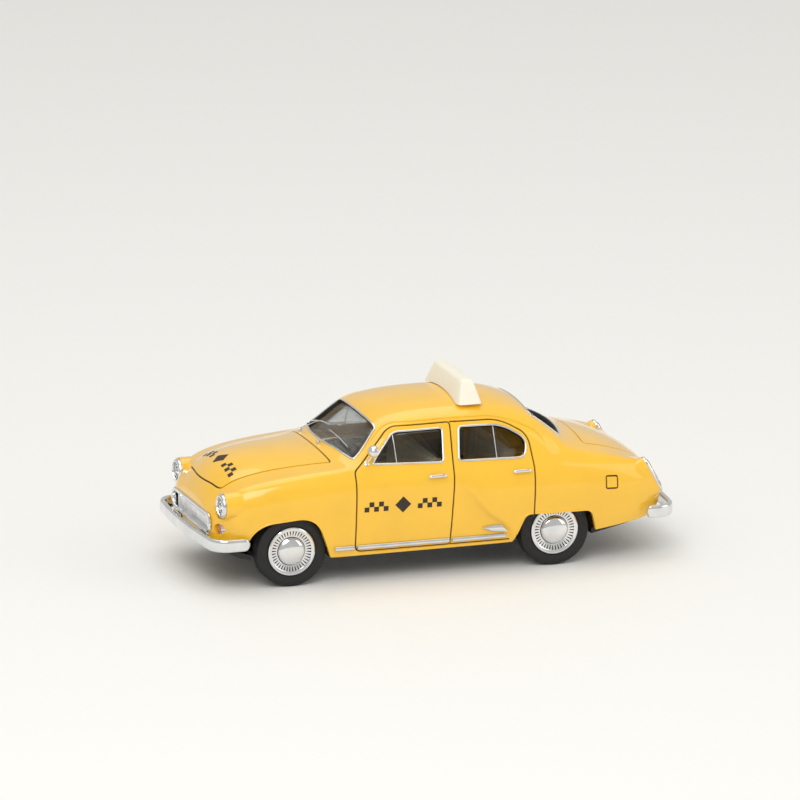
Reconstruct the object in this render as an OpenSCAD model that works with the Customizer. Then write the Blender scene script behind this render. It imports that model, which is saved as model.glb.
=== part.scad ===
// Die-cast toy taxi: a rounded four-door saloon at 1:43, built as an assembly.
// Millimetres. X points to the nose, Y to the left side, Z up. The road is z = 0.

/* [Overall] */
// Length over both bumpers
overall_length = 113; // [111:0.5:115]
// Width of the body at its widest
body_width = 41.6; // [41:0.1:42.8]
// Height of the roof above the road
roof_height = 38.3; // [37.8:0.1:39.2]

/* [Body shell] */
// Wall of the die-cast shell
shell_wall = 1; // [0.8:0.05:1.1]
// Half width and depth of the engraved panel seams
seam_size = 0.2; // [0.14:0.01:0.24]
// Radius of the screw posts inside the shell
post_r = 2; // [1.8:0.05:2.2]
// Distance of the front screw post behind the nose of the body
front_post_inset = 6.1; // [5.7:0.1:6.5]
// Distance of the rear screw post ahead of the tail of the body
rear_post_inset = 10.7; // [9.7:0.1:12]

/* [Wheels] */
// Distance from the front bumper to the front axle
front_overhang = 20.35; // [20:0.05:20.7]
// Distance from the rear bumper to the rear axle
rear_overhang = 29.85; // [29.4:0.05:30.3]
// How far the outer face of a tyre lies inside the side of the body
tyre_inset = 2.45; // [2.2:0.05:2.7]
// Diameter of the tyres
tyre_d = 16.4; // [15.8:0.1:16.8]
// Width of the tyres
tyre_w = 4.1; // [3.7:0.1:4.3]
// Diameter of the chromed wheel, which the tyre sits on
rim_d = 11.4; // [10.8:0.1:11.8]
// Diameter of the steel axles
axle_d = 2; // [1.7:0.05:2.2]
// Clearance all round an axle in its chassis lugs
axle_clearance = 0.08; // [0.04:0.01:0.1]
// Number of slots in the trim ring of a wheel
slot_count = 24; // [12:1:28]

/* [Chassis] */
// Underside of the chassis plate above the road
plate_z = 6; // [5.7:0.05:6.2]
// Thickness of the chassis plate
plate_t = 1.2; // [1.1:0.05:1.4]
// How far the edge of the chassis plate lies inside the side of the body
plate_inset = 2.8; // [2.6:0.1:3.3]
// Lowest point of the moulded running gear above the road
ground_clearance = 4.4; // [4:0.1:4.8]
// Width of an axle lug
lug_w = 3; // [2.4:0.1:3.4]
// Distance from the middle of a tyre to the middle of its axle lug
lug_inset = 5.3; // [5.1:0.05:5.5]
// Distance from an axle to the hole near it for a screw of a display base
base_hole_inset = 11.4; // [10.8:0.1:12]
// Diameter of these holes
base_hole_d = 2.2; // [1.8:0.1:2.4]
// Diameter of the shank of a chassis screw
screw_d = 1.5; // [1.2:0.05:1.7]
// Diameter of the head of a chassis screw
screw_head_d = 3; // [2.6:0.1:3.4]

/* [Windows] */
// Thickness of the clear glazing
glass_t = 0.8; // [0.6:0.05:0.9]
// Half thickness of the bright window surrounds
surround_r = 0.26; // [0.2:0.01:0.3]
// Half thickness of the upright quarter-light bars
bar_r = 0.2; // [0.15:0.01:0.25]

/* [Cabin] */
// Underside of the cabin floor above the road
floor_z = 11.6; // [11.4:0.1:12]
// How far the cabin tub lies inside the side of the body
tub_inset = 4.8; // [4.6:0.1:5.4]
// Gap between the cabin tub and the rear tyres
tub_tyre_gap = 1.85; // [1.2:0.05:2.2]
// Thickness of the cabin tub
tub_t = 0.9; // [0.7:0.05:1]
// Height of a seat cushion above the floor
cushion_h = 5.6; // [5:0.1:6]
// Height of a seat back above the floor
seat_back_h = 13.2; // [12:0.1:13.8]
// Diameter of the steering wheel
steering_wheel_d = 9; // [8:0.1:9.4]

/* [Bright work] */
// Height of the bumper blades
bumper_h = 2.9; // [2.4:0.1:3.1]
// Thickness of the bumper blades
bumper_t = 1.3; // [1:0.05:1.4]
// Height of the middle of the bumpers above the road, at the roof height drawn
bumper_level = 11; // [10.8:0.05:11.2]
// How far the ends of a bumper lie inside the side of the body
bumper_inset = 0.6; // [0.3:0.05:0.8]
// How far a bumper stands out beyond the body
bumper_reach = 2.8; // [2.6:0.05:3]
// Number of upright bars in the grille
grille_bars = 25; // [15:2:29]
// Diameter over a headlamp bezel
headlamp_d = 5.6; // [5.2:0.1:5.8]
// Height of the sill mouldings
moulding_h = 1.1; // [0.8:0.05:1.2]
// Thickness of the sill mouldings
moulding_t = 0.5; // [0.4:0.05:0.6]
// Length of a door handle
handle_length = 4.4; // [3.6:0.1:5]
// Diameter of the door mirror
mirror_d = 2.7; // [2.2:0.1:3]

/* [Roof sign] */
// Length of the roof sign across the car, at its foot
sign_length = 23.4; // [21:0.2:24]
// Length of the sign along its top
sign_top = 18; // [13:0.2:19]
// Thickness of the roof sign at its foot
sign_t = 6.2; // [5.4:0.1:6.6]
// Thickness of the sign along its top
sign_top_t = 3; // [2.4:0.1:4]
// Height of the sign above the roof
sign_h = 4.4; // [3.6:0.1:4.8]

/* [Hidden] */
// Gap between two pieces that touch in the real toy
fit_gap = 0.04;
// Gap under a piece that lies on the curved skin of the body
seat_gap = 0.14;
// Gap kept between two pieces that stay clear of each other
free_gap = 0.4;
// Length by which a cutter passes beyond the face that it cuts
over = 1;
// Height of the open side of a seam cutter above the body
seam_rise = 0.3;
// Half width of a seam cutter as a share of its depth
seam_slope = 0.6;

// Body lines from tail to nose. Each pair is a place along the car and a height or a half width.
side_width = [
    [-53.7, 12.6], [-53.0, 15.2], [-51.2, 17.4], [-47, 18.9], [-38, 20.1], [-26, 20.8],
    [0, 20.95], [28, 20.95], [38, 20.6], [45, 19.8], [50, 18.3], [52.4, 16.3], [53.7, 13.2]];
bottom_height = [
    [-53.7, 12.9], [-52, 11.2], [-48, 9.5], [-36, 8.1], [-16, 6.5], [26, 6.3], [46, 7.4], [53.7, 9.4]];
crest_height = [
    [-53.7, 15.6], [-52.4, 18.2], [-50.4, 21.0], [-47.8, 22.8], [-43, 23.6], [-37, 24.3], [-28, 25.4],
    [-8, 26.0], [14, 26.4], [24, 26.1], [34, 25.4], [43, 24.2], [48, 22.9], [51, 20.9], [53.7, 16.8]];
centre_height = [
    [-53.7, 16.4], [-52.6, 19.0], [-50, 21.6], [-46, 24.0], [-40, 26.3], [-34.5, 27.4], [-31, 29.0],
    [-26, 33.0], [-22, 35.8], [-16, 37.7], [-5, 38.6], [5, 38.3], [12, 37.2], [15.6, 35.6],
    [24.6, 28.8], [28, 28.6], [38, 28.2], [45, 27.2], [49, 25.6], [52, 22.6], [53.7, 18.0]];
rail_height = [
    [-53.7, 16.0], [-52.4, 18.6], [-50, 20.8], [-46, 22.8], [-40, 24.8], [-34, 26.0], [-31, 27.0],
    [-26, 31.0], [-22, 33.8], [-16, 35.2], [-5, 36.0], [5, 35.9], [11.5, 35.0], [14.6, 33.8],
    [20.8, 27.8], [23, 26.9], [30, 26.3], [40, 25.4], [47, 23.9], [51, 21.2], [53.7, 17.4]];
rail_width = [
    [-53.7, 8], [-50, 11.8], [-44, 12.8], [-34, 13.6], [-27, 13.9], [-21, 13.4], [-5, 13.7], [9, 13.5],
    [14.6, 13.5], [20.8, 15.6], [24, 15.0], [30, 13.4], [44, 12.4], [51, 11], [53.7, 8.6]];
flank_height = [
    [-53.7, 15.8], [-52.4, 18.4], [-50, 21.2], [-46, 23.0], [-40, 24.4], [-34, 25.6], [-30, 26.6],
    [-25, 29.4], [-20, 30.9], [-5, 31.4], [8, 31.2], [13, 30.4], [20, 27.0], [24, 26.4],
    [34, 25.7], [43, 24.5], [48, 23.1], [51, 21.0], [53.7, 17.1]];
flank_width = [
    [-53.7, 10], [-50.5, 14.2], [-46, 15.4], [-36, 16.2], [-28, 16.4], [-20, 15.9], [-5, 16.0],
    [10, 16.0], [18, 16.9], [23, 17.0], [32, 16.4], [43, 15.6], [49, 14.4], [53.7, 10.6]];
// Half length over which the corners of these lines are rounded
blend = 1.6;
// How far the lines of the side lie inside the widest one: crest, shoulder, waist, hip, sill, edge
side_inset = [2.7, 0.95, 0.12, 0, 0.35, 1.05];
// Height of the same lines as a share of the way from the bottom edge to the crest
side_level = [1, 0.87, 0.66, 0.4, 0.16, 0];
// The rear wing swells out of the door behind a slanted crease: its start and size on each side line
swell_start = [-4, -4, -5, -8, -10, -11];
swell_size = [0, 0, 0.1, 0.45, 0.5, 0.5];
swell_length = 2.6;
// Share of the rail width at which the crown line lies, and its fall from the centre to the rail
crown_place = 0.6;
crown_fall = 0.3;
// Stations and lines of the inner skin, which the glazing shares
cabin_along = 28;
cabin_round = 12;
// Number of the bottom line, counted from the centre of the roof
last_line = 9;

// Outlines on the side of the body: place along the car, height and corner radius
front_window = [[17.2, 26.9, 0.9], [0.3, 26.2, 0.9], [-0.4, 33.3, 0.9], [11.4, 33.1, 1.6]];
rear_window = [[-3.4, 26.2, 0.9], [-19.2, 25.8, 1.4], [-20.2, 29.6, 2.2], [-14.6, 33.0, 3],
    [-4.3, 33.3, 0.9]];
front_door = [[21.5, 25.7, 0.8], [21.5, 7.3, 1.6], [-1.1, 7.3, 0.6], [-2.4, 34.4, 0.8], [12, 34.2, 2],
    [19.3, 27.2, 1.2]];
rear_door = [[-2.4, 34.4, 0], [-14.2, 34.1, 3], [-20.6, 30.6, 2.4], [-21.2, 24, 1.6], [-20.8, 12.2, 0]];
rear_door_foot = [[-1.1, 7.3, 0], [-15.4, 7.3, 0]];
// Wheel arches: place from the axle, height and corner radius
front_arch = [[12.85, 3, 0], [9.45, 14.9, 5.2], [-5.15, 16.3, 4.6], [-10.25, 3, 0]];
rear_arch = [[12.05, 3, 0], [7.75, 13.1, 1.4], [-8.05, 12.7, 1.4], [-11.05, 3, 0]];
// Filler flap and gutter: place, height and corner radius
fuel_flap = [[-38.4, 20.2, 0.4], [-41.2, 20, 0.4], [-41.2, 17.2, 0.4], [-38.4, 17.4, 0.4]];
gutter = [[18.4, 29.6, 0], [12.8, 34.9, 3], [-3, 35.3, 4], [-15, 34.9, 5], [-23, 31.2, 2], [-24.6, 28.4, 0]];
// Outlines on the top of the body: place along the car, body line and corner radius
windscreen = [[24.8, 0, 1.5], [20.9, 2.3, 0.5], [14.5, 1.8, 0.5], [15.8, 0, 1.2], [14.5, -1.8, 0.5],
    [20.9, -2.3, 0.5]];
rear_screen = [[-32, 0, 1.5], [-29.6, 1.75, 0.6], [-22.6, 1.6, 0.6], [-22.4, 0, 1], [-22.6, -1.6, 0.6],
    [-29.6, -1.75, 0.6]];
bonnet = [[26.6, 0, 1], [25.4, 1.9, 0.5], [50.6, 1.9, 0.7], [52.2, 0, 1], [50.6, -1.9, 0.7],
    [25.4, -1.9, 0.5]];
boot = [[-52, 1.5, 0], [-35.4, 1.7, 0.7], [-36, 0, 1], [-35.4, -1.7, 0.7], [-52, -1.5, 0]];

// Half sizes of the body as drawn, and the scale from there
body_end = side_width[len(side_width) - 1][0];
drawn_half = max([for (x = [-40:2:40]) for (v = [6:0.5:8]) drawn_point(x, v)[0]]);
drawn_top = max([for (p = centre_height) drawn_point(p[0], 0)[1]]);
nose_x = overall_length / 2 - bumper_reach;
kx = nose_x / body_end;
ky = body_width / 2 / drawn_half;
kz = roof_height / drawn_top;

// Places worked out from the sizes above
front_axle_x = overall_length / 2 - front_overhang;
rear_axle_x = rear_overhang - overall_length / 2;
axle_z = tyre_d / 2;
track = body_width - 2 * tyre_inset - tyre_w;
axles = [front_axle_x, rear_axle_x];
lug_y = track / 2 - lug_inset;
lug_face = lug_y + lug_w / 2;
hub_inner = lug_face + free_gap;
axle_half = track / 2 + 0.8;
posts = [[nose_x - front_post_inset, 0], [rear_post_inset - nose_x, 0]];
base_holes = [front_axle_x - base_hole_inset, rear_axle_x + base_hole_inset];
plate_half_width = body_width / 2 - plate_inset;
plate_front = 49.5 * kx;
plate_rear = 48.5 * kx;
// Underside of the plate along the car, which rises to the bumpers
plate_line = [[-plate_rear, plate_z + 3], [-36 * kx, plate_z + 0.4], [-33 * kx, plate_z], [43 * kx, plate_z],
    [plate_front, plate_z + 1.4]];
pod_x = 51.6 * kx;
lamp_y = 15.2 * ky;
lamp_z = 19.2 * kz;
lamp_r = headlamp_d / 2;
indicator_z = 13.9 * kz;
indicator_y = 15 * ky;
indicator_r = 1.15;
bumper_z = bumper_level * kz;
grille_z = bumper_z + 3.3;
grille_half = 10.8 * ky;
grille_r = 2;
grille_rim = 0.5;
bumper_half_width = body_width / 2 - bumper_inset;
tail_lamp = [-50.1 * kx, 16.3 * ky, 18.7 * kz];
tail_lean = 61;
tail_half = 3;
tail_r = 1.3;
peg_y = 8 * ky;
peg_w = 2.4;
peg_h = 1.4;
peg_length = 4;
sign_x = -8.4 * kx;
sign_peg_d = 2;
// Cabin tub: its half width, front, the step ahead of the rear tyres, its narrow rear and its top
tub_half = body_width / 2 - tub_inset;
tub_front = 21.5 * kx;
tub_step = rear_axle_x + tyre_d / 2 + tub_tyre_gap;
tub_rear = rear_axle_x + 3;
tub_narrow = track / 2 - tyre_w / 2 - tub_tyre_gap;
tub_top = 23.6 * kz;
dash_x = tub_front - tub_t - 0.2;

// Value of a body line at x, with its corners rounded
function at(line, x) =
    (lookup(x - blend, line) + 2 * lookup(x - blend / 2, line) + 2 * lookup(x, line)
    + 2 * lookup(x + blend / 2, line) + lookup(x + blend, line)) / 8;
function ease(t) = let (c = min(max(t, 0), 1)) c * c * (3 - 2 * c);
// The control lines of the cross-section: centre, crown, rail, flank and the six lines of the side
function side_line(x, k) = let (low = at(bottom_height, x), high = at(crest_height, x)) [
    at(side_width, x) - side_inset[k] - swell_size[k] * (1 - ease((swell_start[k] - x) / swell_length)),
    low + (high - low) * side_level[k]];
function crown_line(x) = let (mid = at(centre_height, x))
    [crown_place * at(rail_width, x), mid - crown_fall * (mid - at(rail_height, x))];
function control(x, k) =
    k < 0 ? let (p = control(x, -k)) [-p[0], p[1]] :
    k > last_line ? 2 * control(x, last_line) - control(x, 2 * last_line - k) :
    k == 0 ? [0, at(centre_height, x)] :
    k == 1 ? crown_line(x) :
    k == 2 ? [at(rail_width, x), at(rail_height, x)] :
    k == 3 ? [at(flank_width, x), at(flank_height, x)] :
    side_line(x, k - 4);
// Point [y, z] of the drawn cross-section at x, v lines out from the centre: a cubic B-spline
function drawn_point(x, v) = let (i = min(floor(v), last_line - 1), f = v - i)
    (pow(1 - f, 3) * control(x, i - 1) + (3 * pow(f, 3) - 6 * f * f + 4) * control(x, i)
    + (3 * f * f - 3 * pow(f, 3) + 3 * f + 1) * control(x, i + 1) + pow(f, 3) * control(x, i + 2)) / 6;
// Point [x, y, z] of the body, grown outwards within its cross-section. Negative v: right side.
function body_point(x, v, grow = 0) = let (
    u = abs(v),
    p = drawn_point(x, u),
    d = drawn_point(x, min(u + 0.05, last_line)) - drawn_point(x, max(u - 0.05, -0.05)),
    n = [-d[1] * kz, d[0] * ky] / norm([d[1] * kz, d[0] * ky]),
    y = p[0] * ky + n[0] * grow)
    [x * kx, v < 0 ? -y : y, p[1] * kz + n[1] * grow];
// Line number at which the side of the drawn body has the height z
function level_line(x, z, low = 1.2, high = last_line, steps = 12) = let (mid = (low + high) / 2)
    steps == 0 ? mid :
    drawn_point(x, mid)[1] > z ? level_line(x, z, mid, high, steps - 1) :
    level_line(x, z, low, mid, steps - 1);
function side_point(x, z, grow = 0) = body_point(x, level_line(x, z), grow);

// Outline with rounded corners, from points with a corner radius
function flat(p) = [p[0], p[1]];
function corner_arc(p, b, q, steps) =
    [for (k = [0:steps]) let (t = k / steps) (1 - t) * (1 - t) * p + 2 * t * (1 - t) * b + t * t * q];
function rounded(corners, steps = 3) = let (n = len(corners)) [
    for (i = [0:n - 1]) let (
        a = flat(corners[(i + n - 1) % n]),
        b = flat(corners[i]),
        c = flat(corners[(i + 1) % n]),
        r = corners[i][2])
        if (r == 0) b
        else each corner_arc(b + (a - b) * r / norm(a - b), b, b + (c - b) * r / norm(c - b), steps)];
// The same outline with points added on its long stretches
function fine(path, step, closed = true) = let (n = len(path)) concat(
    [for (i = [0:closed ? n - 1 : n - 2])
        let (a = path[i], b = path[(i + 1) % n], parts = max(1, ceil(norm(b - a) / step)))
        for (k = [0:parts - 1]) a + (b - a) * k / parts],
    closed ? [] : [path[n - 1]]);
function on_side(corners, step, closed = true, grow = 0) =
    [for (p = fine(rounded(corners), step, closed)) side_point(p[0], p[1], grow)];
function on_top(corners, step, closed = true, grow = 0) =
    [for (p = fine(rounded(corners), step, closed)) body_point(p[0], p[1], grow)];

// Stations of a skin, closer together at its ends
function station(i, along, half) = let (t = 2 * i / along - 1) half * (0.62 * t + 0.38 * sin(90 * t));

// Solid through a row of rings of points, each ring anticlockwise about the direction of travel
module loft(rings, closed = false) {
    n = len(rings);
    m = len(rings[0]);
    sides = [for (i = [0:closed ? n - 1 : n - 2]) for (j = [0:m - 1])
        let (a = i * m + j, b = i * m + (j + 1) % m, c = (a + m) % (n * m), d = (b + m) % (n * m))
        each [[a, c, b], [b, c, d]]];
    ends = closed ? [] : [[for (j = [0:m - 1]) j], [for (j = [m - 1:-1:0]) (n - 1) * m + j]];
    polyhedron([for (r = rings) each r], concat(sides, ends), convexity = 10);
}
// Direction of a path at its point i
function heading(path, i, closed) = let (
    n = len(path),
    d = path[closed ? (i + 1) % n : min(i + 1, n - 1)] - path[closed ? (i + n - 1) % n : max(i - 1, 0)])
    d / norm(d);
function unit(v) = v / norm(v);

// Closed skin of the body, grown by grow, its foot lowered by drop
module skin(grow, along, round, drop = 0) {
    loft([for (i = [0:along]) [for (j = [0:2 * round])
        body_point(station(i, along, body_end + grow / kx), last_line - last_line * j / round, grow)
        - (j % (2 * round) == 0 ? [0, 0, drop] : [0, 0, 0])]]);
}
// Bead of diamond section along a path of points
module bead(path, r, closed = true) {
    loft([for (i = [0:len(path) - 1]) let (
        along = heading(path, i, closed),
        a = unit(cross(along, abs(along[2]) < 0.8 ? [0, 0, 1] : [1, 0, 0])),
        b = cross(along, a))
        [path[i] + r * a, path[i] + r * b, path[i] - r * a, path[i] - r * b]], closed);
}
// Cutter for an engraved seam: its edge runs along the inner path, its open side along the outer one
module groove(inner, outer, closed = true) {
    loft([for (i = [0:len(inner) - 1]) let (
        rise = outer[i] - inner[i],
        side = unit(cross(heading(inner, i, closed), rise)) * norm(rise) * seam_slope)
        [inner[i], outer[i] - side, outer[i] + side]], closed);
}
// Band lying on the left side of the body: stations of place, lower and upper height
module band(stations, t) {
    loft([for (s = stations) [
        side_point(s[0], s[1], seat_gap + t), side_point(s[0], s[2], seat_gap + t),
        side_point(s[0], s[2], seat_gap), side_point(s[0], s[1], seat_gap)]]);
}
// Round wire along a path of points
module wire(path, r) {
    for (i = [0:len(path) - 2]) hull() {
        translate(path[i]) sphere(r = r, $fn = 6);
        translate(path[i + 1]) sphere(r = r, $fn = 6);
    }
}

// Both sides of the car: the children and their mirror image
module pair() {
    children();
    mirror([0, 1, 0]) children();
}
// Turns a shape drawn in the plane, with Z as its thickness, to stand across, along or at the side
module facing_side(y) translate([0, y, 0]) rotate([90, 0, 0]) children();
module facing_front(x) translate([x, 0, 0]) rotate([90, 0, 90]) children();
// Rod along Y or along X
module rod_y(r, y0, y1) translate([0, y0, 0]) rotate([-90, 0, 0])
    cylinder(r = r, h = y1 - y0, $fn = 48);
module rod_x(r, x0, x1, fn = 48) translate([x0, 0, 0]) rotate([0, 90, 0])
    cylinder(r = r, h = x1 - x0, $fn = fn);
// Slot outline with round ends, lying along its first axis
module slot(half, r) {
    square([2 * half, 2 * r], center = true);
    for (s = [-1, 1]) translate([s * half, 0]) circle(r = r, $fn = 32);
}
module hull_slot(half, r) hull() for (s = [-1, 1]) translate([s * half, 0]) circle(r = r, $fn = 12);
// Place of the left tail lamp, its Z pointing back out of the wing and its X along the lamp
module at_tail_lamp() translate(tail_lamp) rotate([0, -tail_lean, 0]) children();

// Body shell

// Opening over an axle, its corners given from the axle and from the road
module arch(corners, x) {
    outline = rounded([for (c = corners) [c[0], c[1] * kz, c[2]]], steps = 8);
    translate([x, 0, 0]) facing_side(body_width) linear_extrude(2 * body_width) polygon(outline);
}
module lamp_pod() {
    hull() {
        translate([0, lamp_y, lamp_z]) rod_x(lamp_r + 0.3, pod_x - 0.6, pod_x, 20);
        translate([pod_x - 7, lamp_y - 0.3, lamp_z]) sphere(r = lamp_r + 0.2, $fn = 10);
    }
    at_tail_lamp() translate([0, 0, -4]) linear_extrude(4.2) hull_slot(tail_half, tail_r + 0.55);
}
module lamp_pocket() {
    translate([0, lamp_y, lamp_z]) {
        rod_x(lamp_r - 0.5, pod_x - 2.6, pod_x + over, 20);
        rod_x(lamp_r + seat_gap, pod_x, nose_x + over, 20);
    }
    translate([0, indicator_y, indicator_z]) rod_x(indicator_r, pod_x - 1.4, nose_x + over, 16);
    at_tail_lamp() {
        translate([0, 0, -1.4]) linear_extrude(6) hull_slot(tail_half, tail_r);
        translate([0, 0, 0.2]) linear_extrude(6) hull_slot(tail_half, tail_r + 0.55);
    }
}
module windows() {
    pair() for (w = [front_window, rear_window])
        facing_side(body_width / 2) linear_extrude(body_width / 4)
            polygon([for (p = rounded(w)) [p[0] * kx, p[1] * kz]]);
    facing_front(12 * kx) linear_extrude(14 * kx)
        polygon([for (p = on_top(windscreen, 1)) [p[1], p[2]]]);
    facing_front(-34 * kx) linear_extrude(13 * kx)
        polygon([for (p = on_top(rear_screen, 1)) [p[1], p[2]]]);
}
module side_seam(corners, closed = true) {
    groove(on_side(corners, 4, closed, -seam_size), on_side(corners, 4, closed, seam_rise), closed);
}
module top_seam(corners, closed = true) {
    groove(on_top(corners, 5, closed, -seam_size), on_top(corners, 5, closed, seam_rise), closed);
}
module seams() {
    pair() {
        side_seam(front_door);
        side_seam(rear_door, false);
        side_seam(rear_door_foot, false);
    }
    side_seam(fuel_flap);
    top_seam(bonnet);
    top_seam(boot, false);
}
module bumper_slots() {
    for (x = [-nose_x - over, nose_x - 6]) for (s = [-1, 1]) translate([x, s * peg_y, bumper_z])
        facing_front(0) linear_extrude(6 + over) hull_slot(peg_w / 2 - 0.2, peg_h / 2 + 0.2);
}
module screw_post(p) {
    foot = lookup(p[0], plate_line) + plate_t + fit_gap;
    top = at(centre_height, p[0] / kx) * kz;
    difference() {
        translate([p[0], p[1], foot]) cylinder(r = post_r, h = top - foot, $fn = 14);
        translate([p[0], p[1], foot - over]) cylinder(d = screw_d + 0.1, h = 6 + over, $fn = 12);
    }
}
module body_shell() {
    color("gold") difference() {
        union() {
            difference() {
                union() {
                    skin(0, 42, 16);
                    pair() lamp_pod();
                }
                skin(-shell_wall, cabin_along, cabin_round, 6);
            }
            intersection() {
                skin(-shell_wall / 2, cabin_along, cabin_round);
                for (p = posts) screw_post(p);
            }
            pair() bead(on_side(gutter, 5, false), 0.3, false);
        }
        windows();
        arch(front_arch, front_axle_x);
        arch(rear_arch, rear_axle_x);
        pair() lamp_pocket();
        translate([0, 0, grille_z]) facing_front(nose_x - 4)
            linear_extrude(6) hull_slot(grille_half, grille_r);
        bumper_slots();
        seams();
        translate([sign_x, 0, roof_height - 4]) cylinder(d = sign_peg_d + 0.2, h = 8, $fn = 16);
    }
}

// Windows and their bright surrounds

// One clear canopy under the roof, on the stations and lines of the inner skin
module window_glazing() {
    outer = -shell_wall - fit_gap;
    half = body_end - shell_wall / kx;
    rear = -32.5;
    front = 24.2;
    places = [for (i = [0:cabin_along]) let (x = station(i, cabin_along, half)) if (x > rear && x < front) x];
    lines = [for (j = [5:-1:-5]) last_line * j / cabin_round];
    color([0.7, 0.8, 0.85, 0.5]) loft([for (x = places) concat(
        [for (v = lines) body_point(x, v, outer)],
        [for (v = lines) body_point(x, -v, outer - glass_t)])]);
}
module windscreen_surround() {
    color("silver") bead(on_top(windscreen, 1.4, true, surround_r + fit_gap), surround_r);
}
module rear_screen_surround() {
    color("silver") bead(on_top(rear_screen, 1.4, true, surround_r + fit_gap), surround_r);
}
module side_window_surrounds() {
    color("silver") pair() for (w = [front_window, rear_window])
        bead(on_side(w, 5, true, surround_r + fit_gap), surround_r);
}
module quarter_light_bars() {
    color("silver") pair() for (b = [[11.3, 27, 32.6], [-12.6, 26.4, 32.6]])
        bead([for (k = [0:3]) side_point(b[0], b[1] + (b[2] - b[1]) * k / 3, -bar_r - 0.3)], bar_r, false);
}
module wipers() {
    lift = 0.7;
    arm = [[24.9, 0.05], [23.2, 0.25], [21.4, 0.45]];
    blade = [[21.6, -0.1], [21.4, 0.45], [20.8, 1.15]];
    color("silver") for (v = [-1.15, 0.35]) for (path = [arm, blade])
        wire([for (p = path) body_point(p[0], p[1] + v, lift)], 0.22);
}

// Roof sign

module taxi_sign() {
    // Crown of the roof across the car, as a circle through the middle and the foot of the sign
    foot = body_point(sign_x / kx, 1.6);
    crown = body_point(sign_x / kx, 0);
    fall = crown[2] - foot[2];
    crown_r = (foot[1] * foot[1] + fall * fall) / (2 * fall);
    rise = sign_h + fall;
    front = [[-sign_length / 2, 0, 0.8], [sign_length / 2, 0, 0.8], [sign_top / 2, rise, 1],
        [-sign_top / 2, rise, 1]];
    side = [[-sign_t / 2, 0, 0.3], [sign_t / 2, 0, 0.3], [sign_top_t / 2, rise, 0.7],
        [-sign_top_t / 2, rise, 0.7]];
    color("ivory") {
        difference() {
            translate([sign_x, 0, foot[2]]) intersection() {
                facing_front(-sign_t) linear_extrude(2 * sign_t) polygon(rounded(front, steps = 4));
                facing_side(sign_length) linear_extrude(2 * sign_length) polygon(rounded(side, steps = 4));
            }
            translate([sign_x, 0, crown[2] - crown_r]) rod_x(crown_r + 2 * seat_gap, -sign_t, sign_t, 180);
        }
        translate([sign_x, 0, crown[2] - shell_wall])
            cylinder(d = sign_peg_d, h = shell_wall + 1.5, $fn = 24);
    }
}

// Chassis and its screws

module plate_outline() {
    hull() for (s = [-1, 1]) {
        translate([plate_front - 5, s * (plate_half_width - 6)]) circle(r = 5, $fn = 48);
        translate([-plate_rear + 5, s * (plate_half_width - 6)]) circle(r = 5, $fn = 48);
        translate([25 * kx, s * (plate_half_width - 1)]) circle(r = 1, $fn = 24);
        translate([-14 * kx, s * (plate_half_width - 1)]) circle(r = 1, $fn = 24);
    }
}
module axle_lugs(x) {
    half = axle_d / 2 + 1.2;
    for (s = [-1, 1]) translate([x - half, s * lug_y - lug_w / 2, plate_z])
        cube([2 * half, lug_w, axle_z + half - plate_z]);
}
module running_gear() {
    low = ground_clearance;
    // Sump, gearbox and propeller shaft
    translate([27.2 * kx, -3.2, low]) cube([6, 6.4, plate_z - low + fit_gap]);
    translate([12.4 * kx, 0, plate_z]) intersection() {
        rod_x(plate_z - low, 0, 9.5);
        translate([-over, -5, -5]) cube([12, 10, 5 + fit_gap]);
    }
    translate([-12.6 * kx, -0.9, plate_z - 0.8]) cube([25.4 * kx, 1.8, 0.8 + fit_gap]);
    // Silencer and tail pipe
    translate([-8 * kx, -9 * ky, low]) cube([13 * kx, 4.4 * ky, plate_z - low + fit_gap]);
    translate([-30 * kx, -7.4 * ky, plate_z - 0.7]) cube([22.5 * kx, 1.2, 0.7 + fit_gap]);
    // Leaf springs of the rear axle
    pair() translate([rear_axle_x - 9, lug_y - 1.9, plate_z - 0.9]) cube([18, 1.8, 0.9 + fit_gap]);
}
module chassis() {
    top = [for (i = [len(plate_line) - 1:-1:0]) plate_line[i] + [0, plate_t]];
    well = tyre_d / 2 + 1;
    color("dimgray") difference() {
        union() {
            intersection() {
                translate([0, 0, plate_z - over]) linear_extrude(8) plate_outline();
                facing_side(body_width / 2) linear_extrude(body_width) polygon(concat(plate_line, top));
            }
            for (x = axles) axle_lugs(x);
            for (x = base_holes) translate([x, 0, plate_z])
                cylinder(d = base_hole_d + 2.4, h = floor_z - plate_z - fit_gap, $fn = 48);
            running_gear();
        }
        for (x = axles) {
            pair() translate([x - well, lug_face, plate_z - 3]) cube([2 * well, 10, 8]);
            translate([x, 0, axle_z]) rod_y(axle_d / 2 + axle_clearance, -lug_face - over, lug_face + over);
            translate([x - axle_d / 2 - free_gap, -lug_y, axle_z - axle_d / 2 - free_gap])
                cube([axle_d + 2 * free_gap, 2 * lug_y, 6]);
        }
        for (x = base_holes) translate([x, 0, plate_z - 3])
            cylinder(d = base_hole_d, h = 7.4, $fn = 48);
        for (p = posts) translate([p[0], p[1], 0]) {
            cylinder(d = screw_d + 0.3, h = 20, $fn = 32);
            cylinder(d = screw_head_d + 0.3, h = lookup(p[0], plate_line) + 0.5, $fn = 32);
        }
    }
}
module chassis_screws() {
    color("silver") for (p = posts) translate([p[0], p[1], lookup(p[0], plate_line) + 0.5 - fit_gap]) {
        cylinder(d = screw_d, h = plate_t + 4, $fn = 32);
        difference() {
            translate([0, 0, -0.6]) cylinder(d = screw_head_d, h = 0.6, $fn = 32);
            for (a = [0, 90]) rotate(a) translate([-0.9, -0.15, -1.2]) cube([1.8, 0.3, 0.9]);
        }
    }
}

// Cabin

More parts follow.
